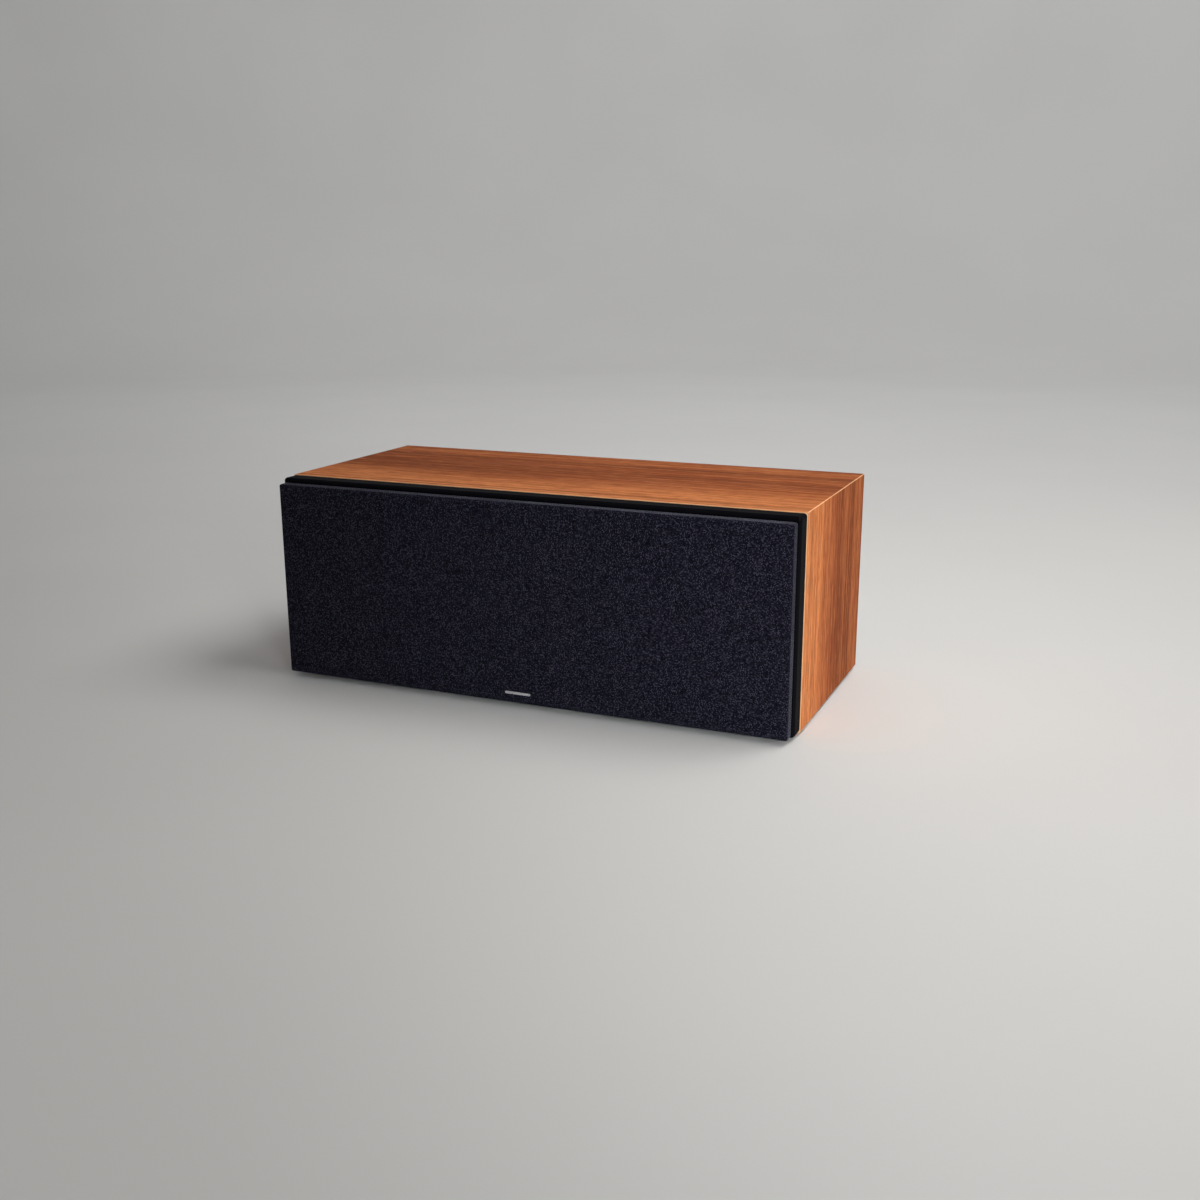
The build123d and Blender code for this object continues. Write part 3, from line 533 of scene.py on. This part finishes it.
def finish_mesh(name, mesh, slot, body, material=None, smooth_angle=35.0):
    """Turns a bmesh into an object with its material, which the slot gives unless one is passed, and the body
    that carries it.
    """
    bmesh.ops.recalc_face_normals(mesh, faces=mesh.faces)
    data = bpy.data.meshes.new(name)
    mesh.to_mesh(data)
    mesh.free()
    data.materials.append(material or MATERIALS[slot])
    data.shade_smooth()
    data.set_sharp_from_angle(angle=math.radians(smooth_angle))
    piece = bpy.data.objects.new(name, data)
    bpy.context.scene.collection.objects.link(piece)
    if body:
        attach(piece, body)
    return piece


def polygon_radius(angle, sides):
    """Radius of a regular polygon with an apothem of one, in a direction."""
    step = 2 * math.pi / sides
    return 1.0 / math.cos((angle + step / 2) % step - step / 2)


def lathe(mesh, rings, centre, out, segments=MEDIUM_SEGMENTS, closed=True):
    """Adds a turned form about an axis along Y to a bmesh.

    rings are (radius, height) in millimetres, or (radius, height, sides) for a many-sided ring, or
    (radius, height, flutes, depth) for a fluted one. Height is measured from centre along out, -1 or 1.
    """
    loops = []
    for ring in rings:
        radius, height = ring[0], ring[1]
        y = centre.y + out * height * MM
        if radius == 0:
            loops.append([mesh.verts.new((centre.x, y, centre.z))])
            continue
        loop = []
        for k in range(segments):
            angle = 2 * math.pi * k / segments
            r = radius
            if len(ring) == 3:
                r *= polygon_radius(angle, ring[2])
            elif len(ring) == 4:
                r -= ring[3] * (0.5 - 0.5 * math.cos(ring[2] * angle))
            point = (centre.x + r * MM * math.cos(angle), y, centre.z + r * MM * math.sin(angle))
            loop.append(mesh.verts.new(point))
        loops.append(loop)
    pairs = list(zip(loops, loops[1:]))
    if closed:
        pairs.append((loops[-1], loops[0]))
    for first, second in pairs:
        bridge(mesh, first, second)


def bridge(mesh, first, second, ring=True):
    """Fills between two loops of equal length, or between a loop and a single point."""
    count = max(len(first), len(second))
    if count == 1:
        return
    for k in range(count if ring else count - 1):
        j = (k + 1) % count
        corners = []
        for loop, picks in ((first, (k, j)), (second, (j, k))):
            for pick in picks:
                vert = loop[pick % len(loop)]
                if vert not in corners:
                    corners.append(vert)
        if len(corners) > 2:
            mesh.faces.new(corners)


def arc(centre, radius, start, end, steps):
    """Points (radius, height) on an arc between two angles in degrees."""
    angles = [math.radians(start + (end - start) * k / steps) for k in range(steps + 1)]
    return [(centre[0] + radius * math.cos(a), centre[1] + radius * math.sin(a)) for a in angles]


def woofer_centres():
    """The middle of each woofer on the baffle's face."""
    return [Vector((side * WOOFER_X, BAFFLE_FACE, MID_Z)) for side in (-1, 1)]


def tweeter_centre():
    """The middle of the tweeter on the baffle's face."""
    return Vector((0, BAFFLE_FACE, MID_Z))


def woofer_radius(point):
    """Distance of a point from the axis of the woofer on its side."""
    return math.hypot(abs(point.x) - WOOFER_X, point.z - MID_Z)


# Grille, in millimetres

CLOTH_SETBACK = 0.35
CLOTH_RADIUS = 2.0
CLOTH_PILLOW = 0.25
CLOTH_PILLOW_REACH = 12.0
CLOTH_STEP = 3.0
CLOTH_ARC_STEPS = 6
CLOTH_EDGE_STEPS = 4
HEM_WIDTH = 8.0
HEM_CORNER = 18.0
HEM_PROUD = 0.15


def grille_cloth():
    """The cloth, stretched over the frame's front, turned round its edge and hemmed on its back."""
    mesh = bmesh.new()
    half_x = (CLOTH_HIGH.x - CLOTH_LOW.x) / 2
    half_z = (CLOTH_HIGH.z - CLOTH_LOW.z) / 2
    radius = CLOTH_RADIUS * MM
    front, back = CLOTH_LOW.y + CLOTH_SETBACK * MM, CLOTH_HIGH.y
    edge = cloth_edge(cloth_front(mesh, half_x - radius, half_z - radius, front))
    loop = [v for v, _ in edge]
    for reach, y in cloth_profile(front, back, radius):
        ring = []
        for v, angle in edge:
            x = v.co.x + reach * math.cos(angle)
            z = v.co.z + reach * math.sin(angle)
            ring.append(mesh.verts.new((x, y, z)))
        bridge(mesh, loop, ring)
        loop = ring
    hem(mesh, loop, half_x, half_z, back)
    piece = finish_mesh("grille_cloth_sheet", mesh, "grille_cloth", "grille", smooth_angle=80.0)
    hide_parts("grille_cloth")


def cloth_front(mesh, flat_x, flat_z, front):
    """The front as a grid of vertices, which falls back a little towards its edges."""
    columns = round(2 * flat_x / (CLOTH_STEP * MM))
    rows = round(2 * flat_z / (CLOTH_STEP * MM))
    grid = []
    for j in range(rows + 1):
        z = -flat_z + 2 * flat_z * j / rows
        line = []
        for i in range(columns + 1):
            x = -flat_x + 2 * flat_x * i / columns
            inside = min(flat_x - abs(x), flat_z - abs(z))
            dip = CLOTH_PILLOW * MM * math.exp(-inside / (CLOTH_PILLOW_REACH * MM))
            line.append(mesh.verts.new((x, front + dip, CLOTH_MID_Z + z)))
        grid.append(line)
    for low, high in zip(grid, grid[1:]):
        bridge(mesh, low, high, ring=False)
    return grid


def cloth_edge(grid):
    """The vertices round the front, each with the direction it turns in, fanned out at the corners."""
    sides = [
        (grid[0], -90.0),
        ([line[-1] for line in grid], 0.0),
        (grid[-1][::-1], 90.0),
        ([line[0] for line in reversed(grid)], 180.0),
    ]
    edge = []
    for verts, angle in sides:
        edge += [(v, math.radians(angle)) for v in verts]
        fan = [angle + 90.0 * k / CLOTH_ARC_STEPS for k in range(1, CLOTH_ARC_STEPS)]
        edge += [(verts[-1], math.radians(a)) for a in fan]
    return edge


def cloth_profile(front, back, radius):
    """The steps (reach, y) of the turn round the edge and of the way to the frame's back."""
    drop = front + CLOTH_PILLOW * MM
    turns = [math.radians(90.0 * k / CLOTH_ARC_STEPS) for k in range(1, CLOTH_ARC_STEPS + 1)]
    profile = [(radius * math.sin(t), drop + radius * (1 - math.cos(t))) for t in turns]
    start = profile[-1][1]
    shares = [k / CLOTH_EDGE_STEPS for k in range(1, CLOTH_EDGE_STEPS + 1)]
    return profile + [(radius, start + (back - start) * share) for share in shares]


def hem(mesh, loop, half_x, half_z, back):
    """Turns the cloth in over the frame's back, along the straight sides and clear of the corner pegs."""
    inner = {}
    for v in loop:
        x, z = v.co.x, v.co.z - CLOTH_MID_Z
        free_x = half_x - abs(x) > HEM_CORNER * MM
        free_z = half_z - abs(z) > HEM_CORNER * MM
        if free_x == free_z:
            continue
        dx = 0.0 if free_x else -math.copysign(HEM_WIDTH * MM, x)
        dz = 0.0 if free_z else -math.copysign(HEM_WIDTH * MM, z)
        inner[v] = mesh.verts.new((x + dx, back + HEM_PROUD * MM, CLOTH_MID_Z + z + dz))
    for first, second in zip(loop, loop[1:] + loop[:1]):
        if first in inner and second in inner and first is not second:
            mesh.faces.new((first, second, inner[second], inner[first]))


BADGE_CENTRE = (-1.3, 14.3)
BADGE_LENGTH = 25.0
BADGE_HEIGHT = 2.4
BADGE_EDGE = 0.12
BADGE_SUNK = 0.2
BADGE_ARC_STEPS = 12


def grille_badge():
    """A plain silver bar with round ends and a bevelled edge, low on the grille."""
    mesh = bmesh.new()
    front = CLOTH_LOW.y
    seat = front + (CLOTH_SETBACK + BADGE_SUNK) * MM
    straight = (BADGE_LENGTH - BADGE_HEIGHT) / 2 * MM
    rings = []
    for inset, y in ((0.0, seat), (0.0, front + BADGE_EDGE * MM), (BADGE_EDGE, front)):
        radius = (BADGE_HEIGHT / 2 - inset) * MM
        ring = []
        for side, start in ((1, -90), (-1, 90)):
            for k in range(BADGE_ARC_STEPS + 1):
                angle = math.radians(start + 180 * k / BADGE_ARC_STEPS)
                x = BADGE_CENTRE[0] * MM + side * straight + radius * math.cos(angle)
                z = BADGE_CENTRE[1] * MM + radius * math.sin(angle)
                ring.append(mesh.verts.new((x, y, z)))
        rings.append(ring)
    for first, second in zip(rings, rings[1:]):
        bridge(mesh, first, second)
    mesh.faces.new(rings[0])
    mesh.faces.new(rings[-1])
    finish_mesh("grille_badge", mesh, "coil_metal", "grille", BADGE_METAL)


# Drivers, in millimetres from the baffle's face

CONE_EDGE = -3.5
CONE_DISH = (24.0, -13.5)
CONE_CENTRE = -17.0
CONE_THICKNESS = 1.2
CONE_BULGE = 0.5
CONE_DISH_STEPS = 10
CONE_WALL_STEPS = 14
# The bead of glue round the dish, as distance from its edge and height over the cone
CONE_BEAD = ((-1.1, 0.0), (-0.5, 0.35), (0.3, 0.5), (1.0, 0.2))


def cone_height(radius):
    """Height of the cone's front face, a flared wall round a dished centre."""
    dish, rim = CONE_DISH
    edge = CONE_RADIUS / MM
    if radius < dish:
        return CONE_CENTRE + (rim - CONE_CENTRE) * (radius / dish) ** 2
    share = (radius - dish) / (edge - dish)
    return rim + (CONE_EDGE - rim) * share - CONE_BULGE * math.sin(math.pi * share)


def woofer_cones():
    """Paper cones with a dished centre and a bead round it."""
    mesh = bmesh.new()
    dish = CONE_DISH[0]
    edge = CONE_RADIUS / MM
    radii = [dish * k / CONE_DISH_STEPS for k in range(CONE_DISH_STEPS)]
    radii += [dish + (edge - dish) * k / CONE_WALL_STEPS for k in range(CONE_WALL_STEPS + 1)]
    front = [(r, cone_height(r)) for r in radii]
    bead = [(dish + off, cone_height(dish + off) + rise) for off, rise in CONE_BEAD]
    front[CONE_DISH_STEPS : CONE_DISH_STEPS + 1] = bead
    back = [(r, cone_height(r) - CONE_THICKNESS) for r in reversed(radii)]
    for centre in woofer_centres():
        lathe(mesh, front + back, centre, -1, FINE_SEGMENTS, closed=False)
    piece = finish_mesh("woofer_cone_pair", mesh, "cone_paper", "cones", smooth_angle=50.0)
    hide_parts("woofer_cones")


ROLL_CENTRE = (55.0, -3.5)
ROLL_OUTER = 4.5
ROLL_THICKNESS = 0.9
# Ends of the roll in degrees
ROLL_ENDS = (4.0, 176.0)
ROLL_STEPS = 20
LIP_RADIUS = 64.4
LIP_INNER = 60.2
LIP_BASE = -4.45
LIP_HEIGHT = 0.95
LIP_BEVEL = (0.3, 0.25)
LIP_UNDERCUT = 0.4
FOOT_INNER = 48.7
FOOT_OUTER = 50.0
FOOT_HEIGHT = 0.55
FOOT_BEVEL = (0.3, 0.25)
FOOT_SHOULDER = 0.25
FOOT_GLUE = 0.03
SURROUND_STILL = 59.5
SURROUND_MOVING = 50.6


def woofer_surrounds():
    """Half-roll rubber rings, glued to the baskets outside and to the cones inside."""
    mesh = bmesh.new()
    inside = ROLL_OUTER - ROLL_THICKNESS
    over = arc(ROLL_CENTRE, ROLL_OUTER, *ROLL_ENDS, ROLL_STEPS)
    under = arc(ROLL_CENTRE, inside, *reversed(ROLL_ENDS), ROLL_STEPS)
    seat = cone_height(FOOT_INNER)
    foot = [
        (FOOT_OUTER, CONE_EDGE + FOOT_SHOULDER),
        (FOOT_INNER + FOOT_BEVEL[0], seat + FOOT_HEIGHT),
        (FOOT_INNER, seat + FOOT_HEIGHT - FOOT_BEVEL[1]),
        (FOOT_INNER, seat + FOOT_GLUE),
        (FOOT_OUTER, cone_height(FOOT_OUTER) + FOOT_GLUE),
    ]
    lip = [
        (ROLL_CENTRE[0] + inside + LIP_UNDERCUT, LIP_BASE),
        (LIP_RADIUS, LIP_BASE),
        (LIP_RADIUS, LIP_BASE + LIP_HEIGHT - LIP_BEVEL[1]),
        (LIP_RADIUS - LIP_BEVEL[0], LIP_BASE + LIP_HEIGHT),
        (LIP_INNER, LIP_BASE + LIP_HEIGHT),
    ]
    for centre in woofer_centres():
        lathe(mesh, over + foot + under + lip, centre, -1, FINE_SEGMENTS)
    piece = finish_mesh("woofer_surround_pair", mesh, "surround_rubber", None, smooth_angle=60.0)
    flex(piece, "woofer_surrounds", SURROUND_STILL, SURROUND_MOVING)


def flex(piece, node, still, moving):
    """Hides the CAD ring and bakes the piece's transform; it works out each vertex's share between one radius
    and another but keeps none of it.
    """
    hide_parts(node)
    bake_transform(piece)
    for vert in piece.data.vertices:
        share = (still - woofer_radius(vert.co) / MM) / (still - moving)
        share = min(1.0, max(0.0, share))


SPIDER_INNER = 13.8
SPIDER_OUTER = 42.0
SPIDER_FLAT = 35.5
SPIDER_WAVES = 5
SPIDER_STEPS = 60
SPIDER_RISE = 1.3
SPIDER_FADE = 4
SPIDER_SEAT = -46.0
SPIDER_GLUE = 0.1
SPIDER_THICKNESS = 0.5
SPIDER_STILL = 36.0
SPIDER_MOVING = 14.5


def woofer_spiders():
    """Corrugated rings that centre the voice coils inside the baskets."""
    mesh = bmesh.new()
    top = SPIDER_SEAT + SPIDER_GLUE + SPIDER_THICKNESS
    front = [(SPIDER_OUTER, top)]
    for k in range(SPIDER_STEPS + 1):
        share = k / SPIDER_STEPS
        fade = min(1.0, SPIDER_FADE * (1 - share))
        wave = SPIDER_RISE * math.sin(2 * math.pi * SPIDER_WAVES * share) * fade
        front.append((SPIDER_FLAT - (SPIDER_FLAT - SPIDER_INNER) * share, top + wave))
    back = [(r, h - SPIDER_THICKNESS) for r, h in reversed(front)]
    for centre in woofer_centres():
        lathe(mesh, front + back, centre, -1)
    piece = finish_mesh("woofer_spider_pair", mesh, "spider_weave", None, smooth_angle=60.0)
    flex(piece, "woofer_spiders", SPIDER_STILL, SPIDER_MOVING)


FACEPLATE_RIM = 4.0
FACEPLATE_ROUND = 0.5
FACEPLATE_BOSS = (40.0, 12.0)
WAVEGUIDE_MOUTH = 34.0
WAVEGUIDE_THROAT = (16.3, 7.0)


def tweeter_faceplate():
    """A flush plate whose waveguide sweeps down to the dome in one smooth curve."""
    mesh = bmesh.new()
    low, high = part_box("tweeter_faceplate")
    edge = (high.x - low.x) / 2 / MM
    boss, boss_depth = FACEPLATE_BOSS
    throat, depth = WAVEGUIDE_THROAT
    reach = WAVEGUIDE_MOUTH - throat
    sweep = (reach * reach + depth * depth) / (2 * depth)
    turn = math.degrees(math.asin(reach / sweep))
    outline = arc((WAVEGUIDE_MOUTH, -sweep), sweep, 90.0, 90.0 + turn, 16)
    outline += [(throat, -boss_depth), (boss, -boss_depth), (boss, -FACEPLATE_RIM), (edge, -FACEPLATE_RIM)]
    outline += arc((edge - FACEPLATE_ROUND, -FACEPLATE_ROUND), FACEPLATE_ROUND, 0.0, 90.0, 4)
    lathe(mesh, outline, tweeter_centre(), -1, FINE_SEGMENTS)
    piece = finish_mesh("tweeter_waveguide", mesh, "faceplate_plastic", "cabinet", smooth_angle=40.0)
    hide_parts("tweeter_faceplate")


DOME_FOOT = -12.0
DOME_CROWN = -7.0
DOME_CAP = 13.2
DOME_CAP_RISE = 1.0
DOME_STEPS = 16
DOME_ROLL = (14.5, 0.9)
DOME_ROLL_RADIUS = 1.2
DOME_EDGE = 15.9
DOME_EDGE_HEIGHT = 0.4
DOME_GLUE = 0.02


def tweeter_dome():
    """A soft dome with a narrow roll round its foot."""
    mesh = bmesh.new()
    rise = DOME_CROWN - (DOME_FOOT + DOME_CAP_RISE)
    radius = (DOME_CAP * DOME_CAP + rise * rise) / (2 * rise)
    radii = [DOME_CAP * k / DOME_STEPS for k in range(DOME_STEPS + 1)]
    outline = [(r, DOME_CROWN - radius + math.sqrt(radius * radius - r * r)) for r in radii]
    outline += arc((DOME_ROLL[0], DOME_FOOT + DOME_ROLL[1]), DOME_ROLL_RADIUS, 160.0, 10.0, 8)
    outline += [(DOME_EDGE, DOME_FOOT + DOME_EDGE_HEIGHT), (DOME_EDGE, DOME_FOOT + DOME_GLUE)]
    outline += [(0, DOME_FOOT + DOME_GLUE)]
    lathe(mesh, outline, tweeter_centre(), -1, closed=False)
    piece = finish_mesh("tweeter_soft_dome", mesh, "dome_weave", "cabinet", smooth_angle=60.0)
    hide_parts("tweeter_dome")


SCREW_HEAD = 3.3
SCREW_RISE = 1.9
SCREW_SOCKET = 1.35
SCREW_SIDES = 6
SCREW_GAP = 0.02
SCREW_SEGMENTS = 36
# Shares of the head's radius and rise: its dome, then the socket's floor at the wall and in the middle
SCREW_DOME = ((1.0, 0.45), (0.93, 0.75), (0.78, 0.94), (0.60, 1.0))
SCREW_FLOOR = (0.35, 0.25)
# Count, radius of the ring, and size as a share of the full size
WOOFER_SCREWS = (6, 69.8, 1.0)
TWEETER_SCREWS = (4, 44.0, 0.85)
PORT_SCREWS = (4, 33.0, 0.6)
CUP_SCREW_INSET = 5.2
CUP_SCREW_SIZE = 0.6


def screw(mesh, centre, out, size):
    """A pan head with a hexagonal socket, standing on its flange."""
    head, rise, socket = SCREW_HEAD * size, SCREW_RISE * size, SCREW_SOCKET * size
    rings = [(0, SCREW_GAP), (head, SCREW_GAP)]
    rings += [(wide * head, tall * rise) for wide, tall in SCREW_DOME]
    rings += [(socket, rise, SCREW_SIDES), (socket, SCREW_FLOOR[0] * rise, SCREW_SIDES)]
    rings += [(0, SCREW_FLOOR[1] * rise)]
    lathe(mesh, rings, centre, out, SCREW_SEGMENTS, closed=False)


def ring_of_screws(mesh, centre, out, count, radius, size):
    """Screws evenly round a centre, the first half a step from the X axis."""
    for k in range(count):
        angle = 2 * math.pi * (k + 0.5) / count
        offset = Vector((math.cos(angle), 0.0, math.sin(angle))) * radius * MM
        screw(mesh, centre + offset, out, size)


def screws():
    """The screws of the drivers, the ports and the terminal dish."""
    mesh = bmesh.new()
    for centre in woofer_centres():
        ring_of_screws(mesh, centre, -1, *WOOFER_SCREWS)
    ring_of_screws(mesh, tweeter_centre(), -1, *TWEETER_SCREWS)
    for side in (-1, 1):
        ring_of_screws(mesh, Vector((side * PORT_X, PORT_HIGH.y, MID_Z)), 1, *PORT_SCREWS)
    low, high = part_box("terminal_cup")
    inset = CUP_SCREW_INSET * MM
    for x in (low.x + inset, high.x - inset):
        for z in (low.z + inset, high.z - inset):
            screw(mesh, Vector((x, high.y, z)), 1, CUP_SCREW_SIZE)
    finish_mesh("flange_screws", mesh, "motor_paint", "cabinet", SCREW_METAL, smooth_angle=40.0)


# Rear, in millimetres from the rear panel's face

PORT_BORE = 22.0
PORT_TUBE = 24.5
PORT_FLARE = 8.0
PORT_FACE = 3.0
PORT_ROUND = 1.0


def port_tubes():
    """Tubes with a smoothly flared mouth and a rounded flange."""
    mesh = bmesh.new()
    flange = PORT_FLANGE_RADIUS / MM
    end = (PORT_LOW.y - REAR_FACE) / MM
    outline = [(PORT_TUBE, end), (PORT_TUBE, 0.0), (flange, 0.0)]
    outline += arc((flange - PORT_ROUND, PORT_FACE - PORT_ROUND), PORT_ROUND, 0.0, 90.0, 5)
    outline += arc((PORT_BORE + PORT_FLARE, PORT_FACE - PORT_FLARE), PORT_FLARE, 90.0, 180.0, 12)
    outline += [(PORT_BORE, end)]
    for side in (-1, 1):
        lathe(mesh, outline, Vector((side * PORT_X, REAR_FACE, MID_Z)), 1, FINE_SEGMENTS)
    piece = finish_mesh("port_tube_pair", mesh, "port_plastic", "cabinet", smooth_angle=40.0)
    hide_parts("port_tubes")


KNOB_RADIUS = 8.1
KNOB_BORE = 4.25
KNOB_FLUTES = 18
KNOB_FLUTE_DEPTH = 0.7
KNOB_BORE_BEVEL = 0.5
KNOB_SEGMENTS = 144
# Insets from the radius, with heights over the foot for the collar and depths below the front for the rest
KNOB_COLLAR = ((1.0, 0.0), (0.6, 0.5), (0.6, 1.6))
KNOB_GRIP_START = 2.0
KNOB_GRIP_END = ((0.0, 2.2), (0.25, 1.3))
KNOB_FRONT = ((1.0, 0.5), (1.8, 0.0))


def terminal_knobs():
    """Fluted knobs with a plain collar at the foot and a rounded front."""
    flute = (KNOB_FLUTES, KNOB_FLUTE_DEPTH)
    for name, slot in (("positive", "red_knob"), ("negative", "black_knob")):
        low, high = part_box(f"{name}_knob")
        centre = Vector(((low.x + high.x) / 2, low.y, (low.z + high.z) / 2))
        length = (high.y - low.y) / MM
        outline = [(KNOB_BORE, 0.0)]
        outline += [(KNOB_RADIUS - inset, height) for inset, height in KNOB_COLLAR]
        outline += [(KNOB_RADIUS, KNOB_GRIP_START, *flute)]
        outline += [(KNOB_RADIUS - inset, length - depth, *flute) for inset, depth in KNOB_GRIP_END]
        outline += [(KNOB_RADIUS - inset, length - depth) for inset, depth in KNOB_FRONT]
        outline += [(KNOB_BORE + KNOB_BORE_BEVEL, length), (KNOB_BORE, length - KNOB_BORE_BEVEL)]
        mesh = bmesh.new()
        lathe(mesh, outline, centre, 1, KNOB_SEGMENTS)
        piece = finish_mesh(f"{name}_fluted_knob", mesh, slot, f"{name}_knob", smooth_angle=40.0)
        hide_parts(f"{name}_knob")


# Inside, in millimetres

PAD_STEP = 7.0
PAD_SOFT = 9.0
PAD_UNEVEN = 1.6
# Share of the thickness that the edges draw in by
PAD_DIP = 0.35
# Waves of the uneven face, as radians per metre and phase, along Y and Z
PAD_WAVES = ((210, 1.7), (260, 0.4))


def damping_pads():
    """Fibre mats with soft, uneven faces against the side walls."""
    for name in ("left", "right"):
        low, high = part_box(f"{name}_damping_pad")
        wall, room = (low.x, high.x) if name == "left" else (high.x, low.x)
        mesh = bmesh.new()
        flat = pad_face(mesh, low, high, wall, 0.0)
        soft = pad_face(mesh, low, high, room, wall - room)
        bridge(mesh, rim_of(flat), rim_of(soft))
        piece = finish_mesh(f"{name}_fibre_pad", mesh, "fibre_pad", "cabinet", smooth_angle=70.0)
        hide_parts(f"{name}_damping_pad")


def pad_face(mesh, low, high, base, thickness):
    """A face of a pad as a grid, drawn in towards the other face at its edges and in its hollows."""
    depth, tall = high.y - low.y, high.z - low.z
    rows, columns = round(tall / (PAD_STEP * MM)), round(depth / (PAD_STEP * MM))
    grid = []
    for j in range(rows + 1):
        line = []
        for i in range(columns + 1):
            y, z = low.y + depth * i / columns, low.z + tall * j / rows
            inside = min(y - low.y, high.y - y, z - low.z, high.z - z)
            waves = [math.sin(rate * value + phase) for value, (rate, phase) in zip((y, z), PAD_WAVES)]
            pull = PAD_DIP * math.exp(-inside / (PAD_SOFT * MM)) * abs(thickness)
            pull += PAD_UNEVEN * MM * (0.5 + 0.5 * waves[0] * waves[1])
            x = base + math.copysign(pull, thickness) if thickness else base
            line.append(mesh.verts.new((x, y, z)))
        grid.append(line)
    for first, second in zip(grid, grid[1:]):
        bridge(mesh, first, second, ring=False)
    return grid


def rim_of(grid):
    """The vertices round the edge of a grid, in order."""
    right = [line[-1] for line in grid[1:-1]]
    left = [line[0] for line in grid[1:-1]]
    return grid[0] + right + grid[-1][::-1] + left[::-1]


# Stage


def add_floor():
    """A round pale floor that curves up into its own backdrop."""
    mesh = bmesh.new()
    profile = [(0.0, 0.0), (FLOOR_RADIUS, 0.0)]
    for k in range(1, FLOOR_STEPS + 1):
        angle = math.radians(90.0 * k / FLOOR_STEPS)
        profile.append((FLOOR_RADIUS + FLOOR_RISE * math.sin(angle), FLOOR_RISE * (1 - math.cos(angle))))
    profile.append((FLOOR_RADIUS + FLOOR_RISE, 2 * FLOOR_RISE))
    loops = []
    for radius, z in profile:
        count = FLOOR_SEGMENTS if radius else 1
        angles = [2 * math.pi * k / count for k in range(count)]
        loops.append([mesh.verts.new((radius * math.cos(a), radius * math.sin(a), z)) for a in angles])
    for first, second in zip(loops, loops[1:]):
        bridge(mesh, first, second)
    data = bpy.data.meshes.new("floor")
    mesh.to_mesh(data)
    mesh.free()
    data.shade_smooth()
    data.materials.append(pale_floor())
    floor = bpy.data.objects.new("floor", data)
    bpy.context.scene.collection.objects.link(floor)


def pale_floor():
    """A plain matt floor with faint clouds."""
    s = Surface("pale_floor", specular_ior_level=0.25)
    cloud = s.noise(s.place, 1.6, 3.0)
    shade = tuple(c * FLOOR_SHADE for c in FLOOR_COLOUR)
    s.colour(s.mix(s.range(cloud, 0.3, 0.7), FLOOR_COLOUR, shade))
    s.rough(s.range(cloud, 0.3, 0.7, 0.6, 0.7))
    return s.material


def add_light(name, place, target, size, power, colour, spread):
    """A rectangular area light that looks at its target."""
    data = bpy.data.lights.new(name, "AREA")
    data.shape = "RECTANGLE"
    data.size, data.size_y = size
    data.energy = power
    data.spread = math.radians(spread)
    data.color = colour
    light = bpy.data.objects.new(name, data)
    aim = Vector(target) - Vector(place)
    light.matrix_world = Matrix.Translation(place) @ aim.to_track_quat("-Z", "Y").to_matrix().to_4x4()
    bpy.context.scene.collection.objects.link(light)


def add_lights():
    """The soft light of the world and the lamps of the studio."""
    world = bpy.data.worlds.new("studio")
    world.use_nodes = True
    background = world.node_tree.nodes["Background"]
    background.inputs["Color"].default_value = (*WORLD_COLOUR, 1.0)
    background.inputs["Strength"].default_value = WORLD_STRENGTH
    bpy.context.scene.world = world
    for light in LIGHTS:
        add_light(*light)


def add_camera():
    """The camera, at the place and angle that the photograph was taken from."""
    data = bpy.data.cameras.new("camera")
    data.sensor_width = SENSOR_WIDTH
    data.lens = FOCAL_PIXELS / PHOTO_SIZE * SENSOR_WIDTH
    camera = bpy.data.objects.new("camera", data)
    level = math.cos(CAMERA_ELEVATION)
    back = Vector(
        (
            math.sin(CAMERA_AZIMUTH) * level,
            -math.cos(CAMERA_AZIMUTH) * level,
            math.sin(CAMERA_ELEVATION),
        )
    )
    right = Vector((math.cos(CAMERA_AZIMUTH), math.sin(CAMERA_AZIMUTH), 0.0))
    up = back.cross(right)
    right, up = (
        math.cos(CAMERA_ROLL) * right + math.sin(CAMERA_ROLL) * up,
        math.cos(CAMERA_ROLL) * up - math.sin(CAMERA_ROLL) * right,
    )
    turn = Matrix((right, up, back)).transposed()
    camera.matrix_world = Matrix.Translation(CAMERA_EYE) @ turn.to_4x4()
    bpy.context.scene.collection.objects.link(camera)
    bpy.context.scene.camera = camera


add_camera()
add_lights()
add_floor()
dress_nodes()
grille_cloth()
grille_badge()
woofer_cones()
woofer_surrounds()
woofer_spiders()
tweeter_faceplate()
tweeter_dome()
screws()
port_tubes()
terminal_knobs()
damping_pads()
bpy.context.scene.view_settings.view_transform = "Standard"
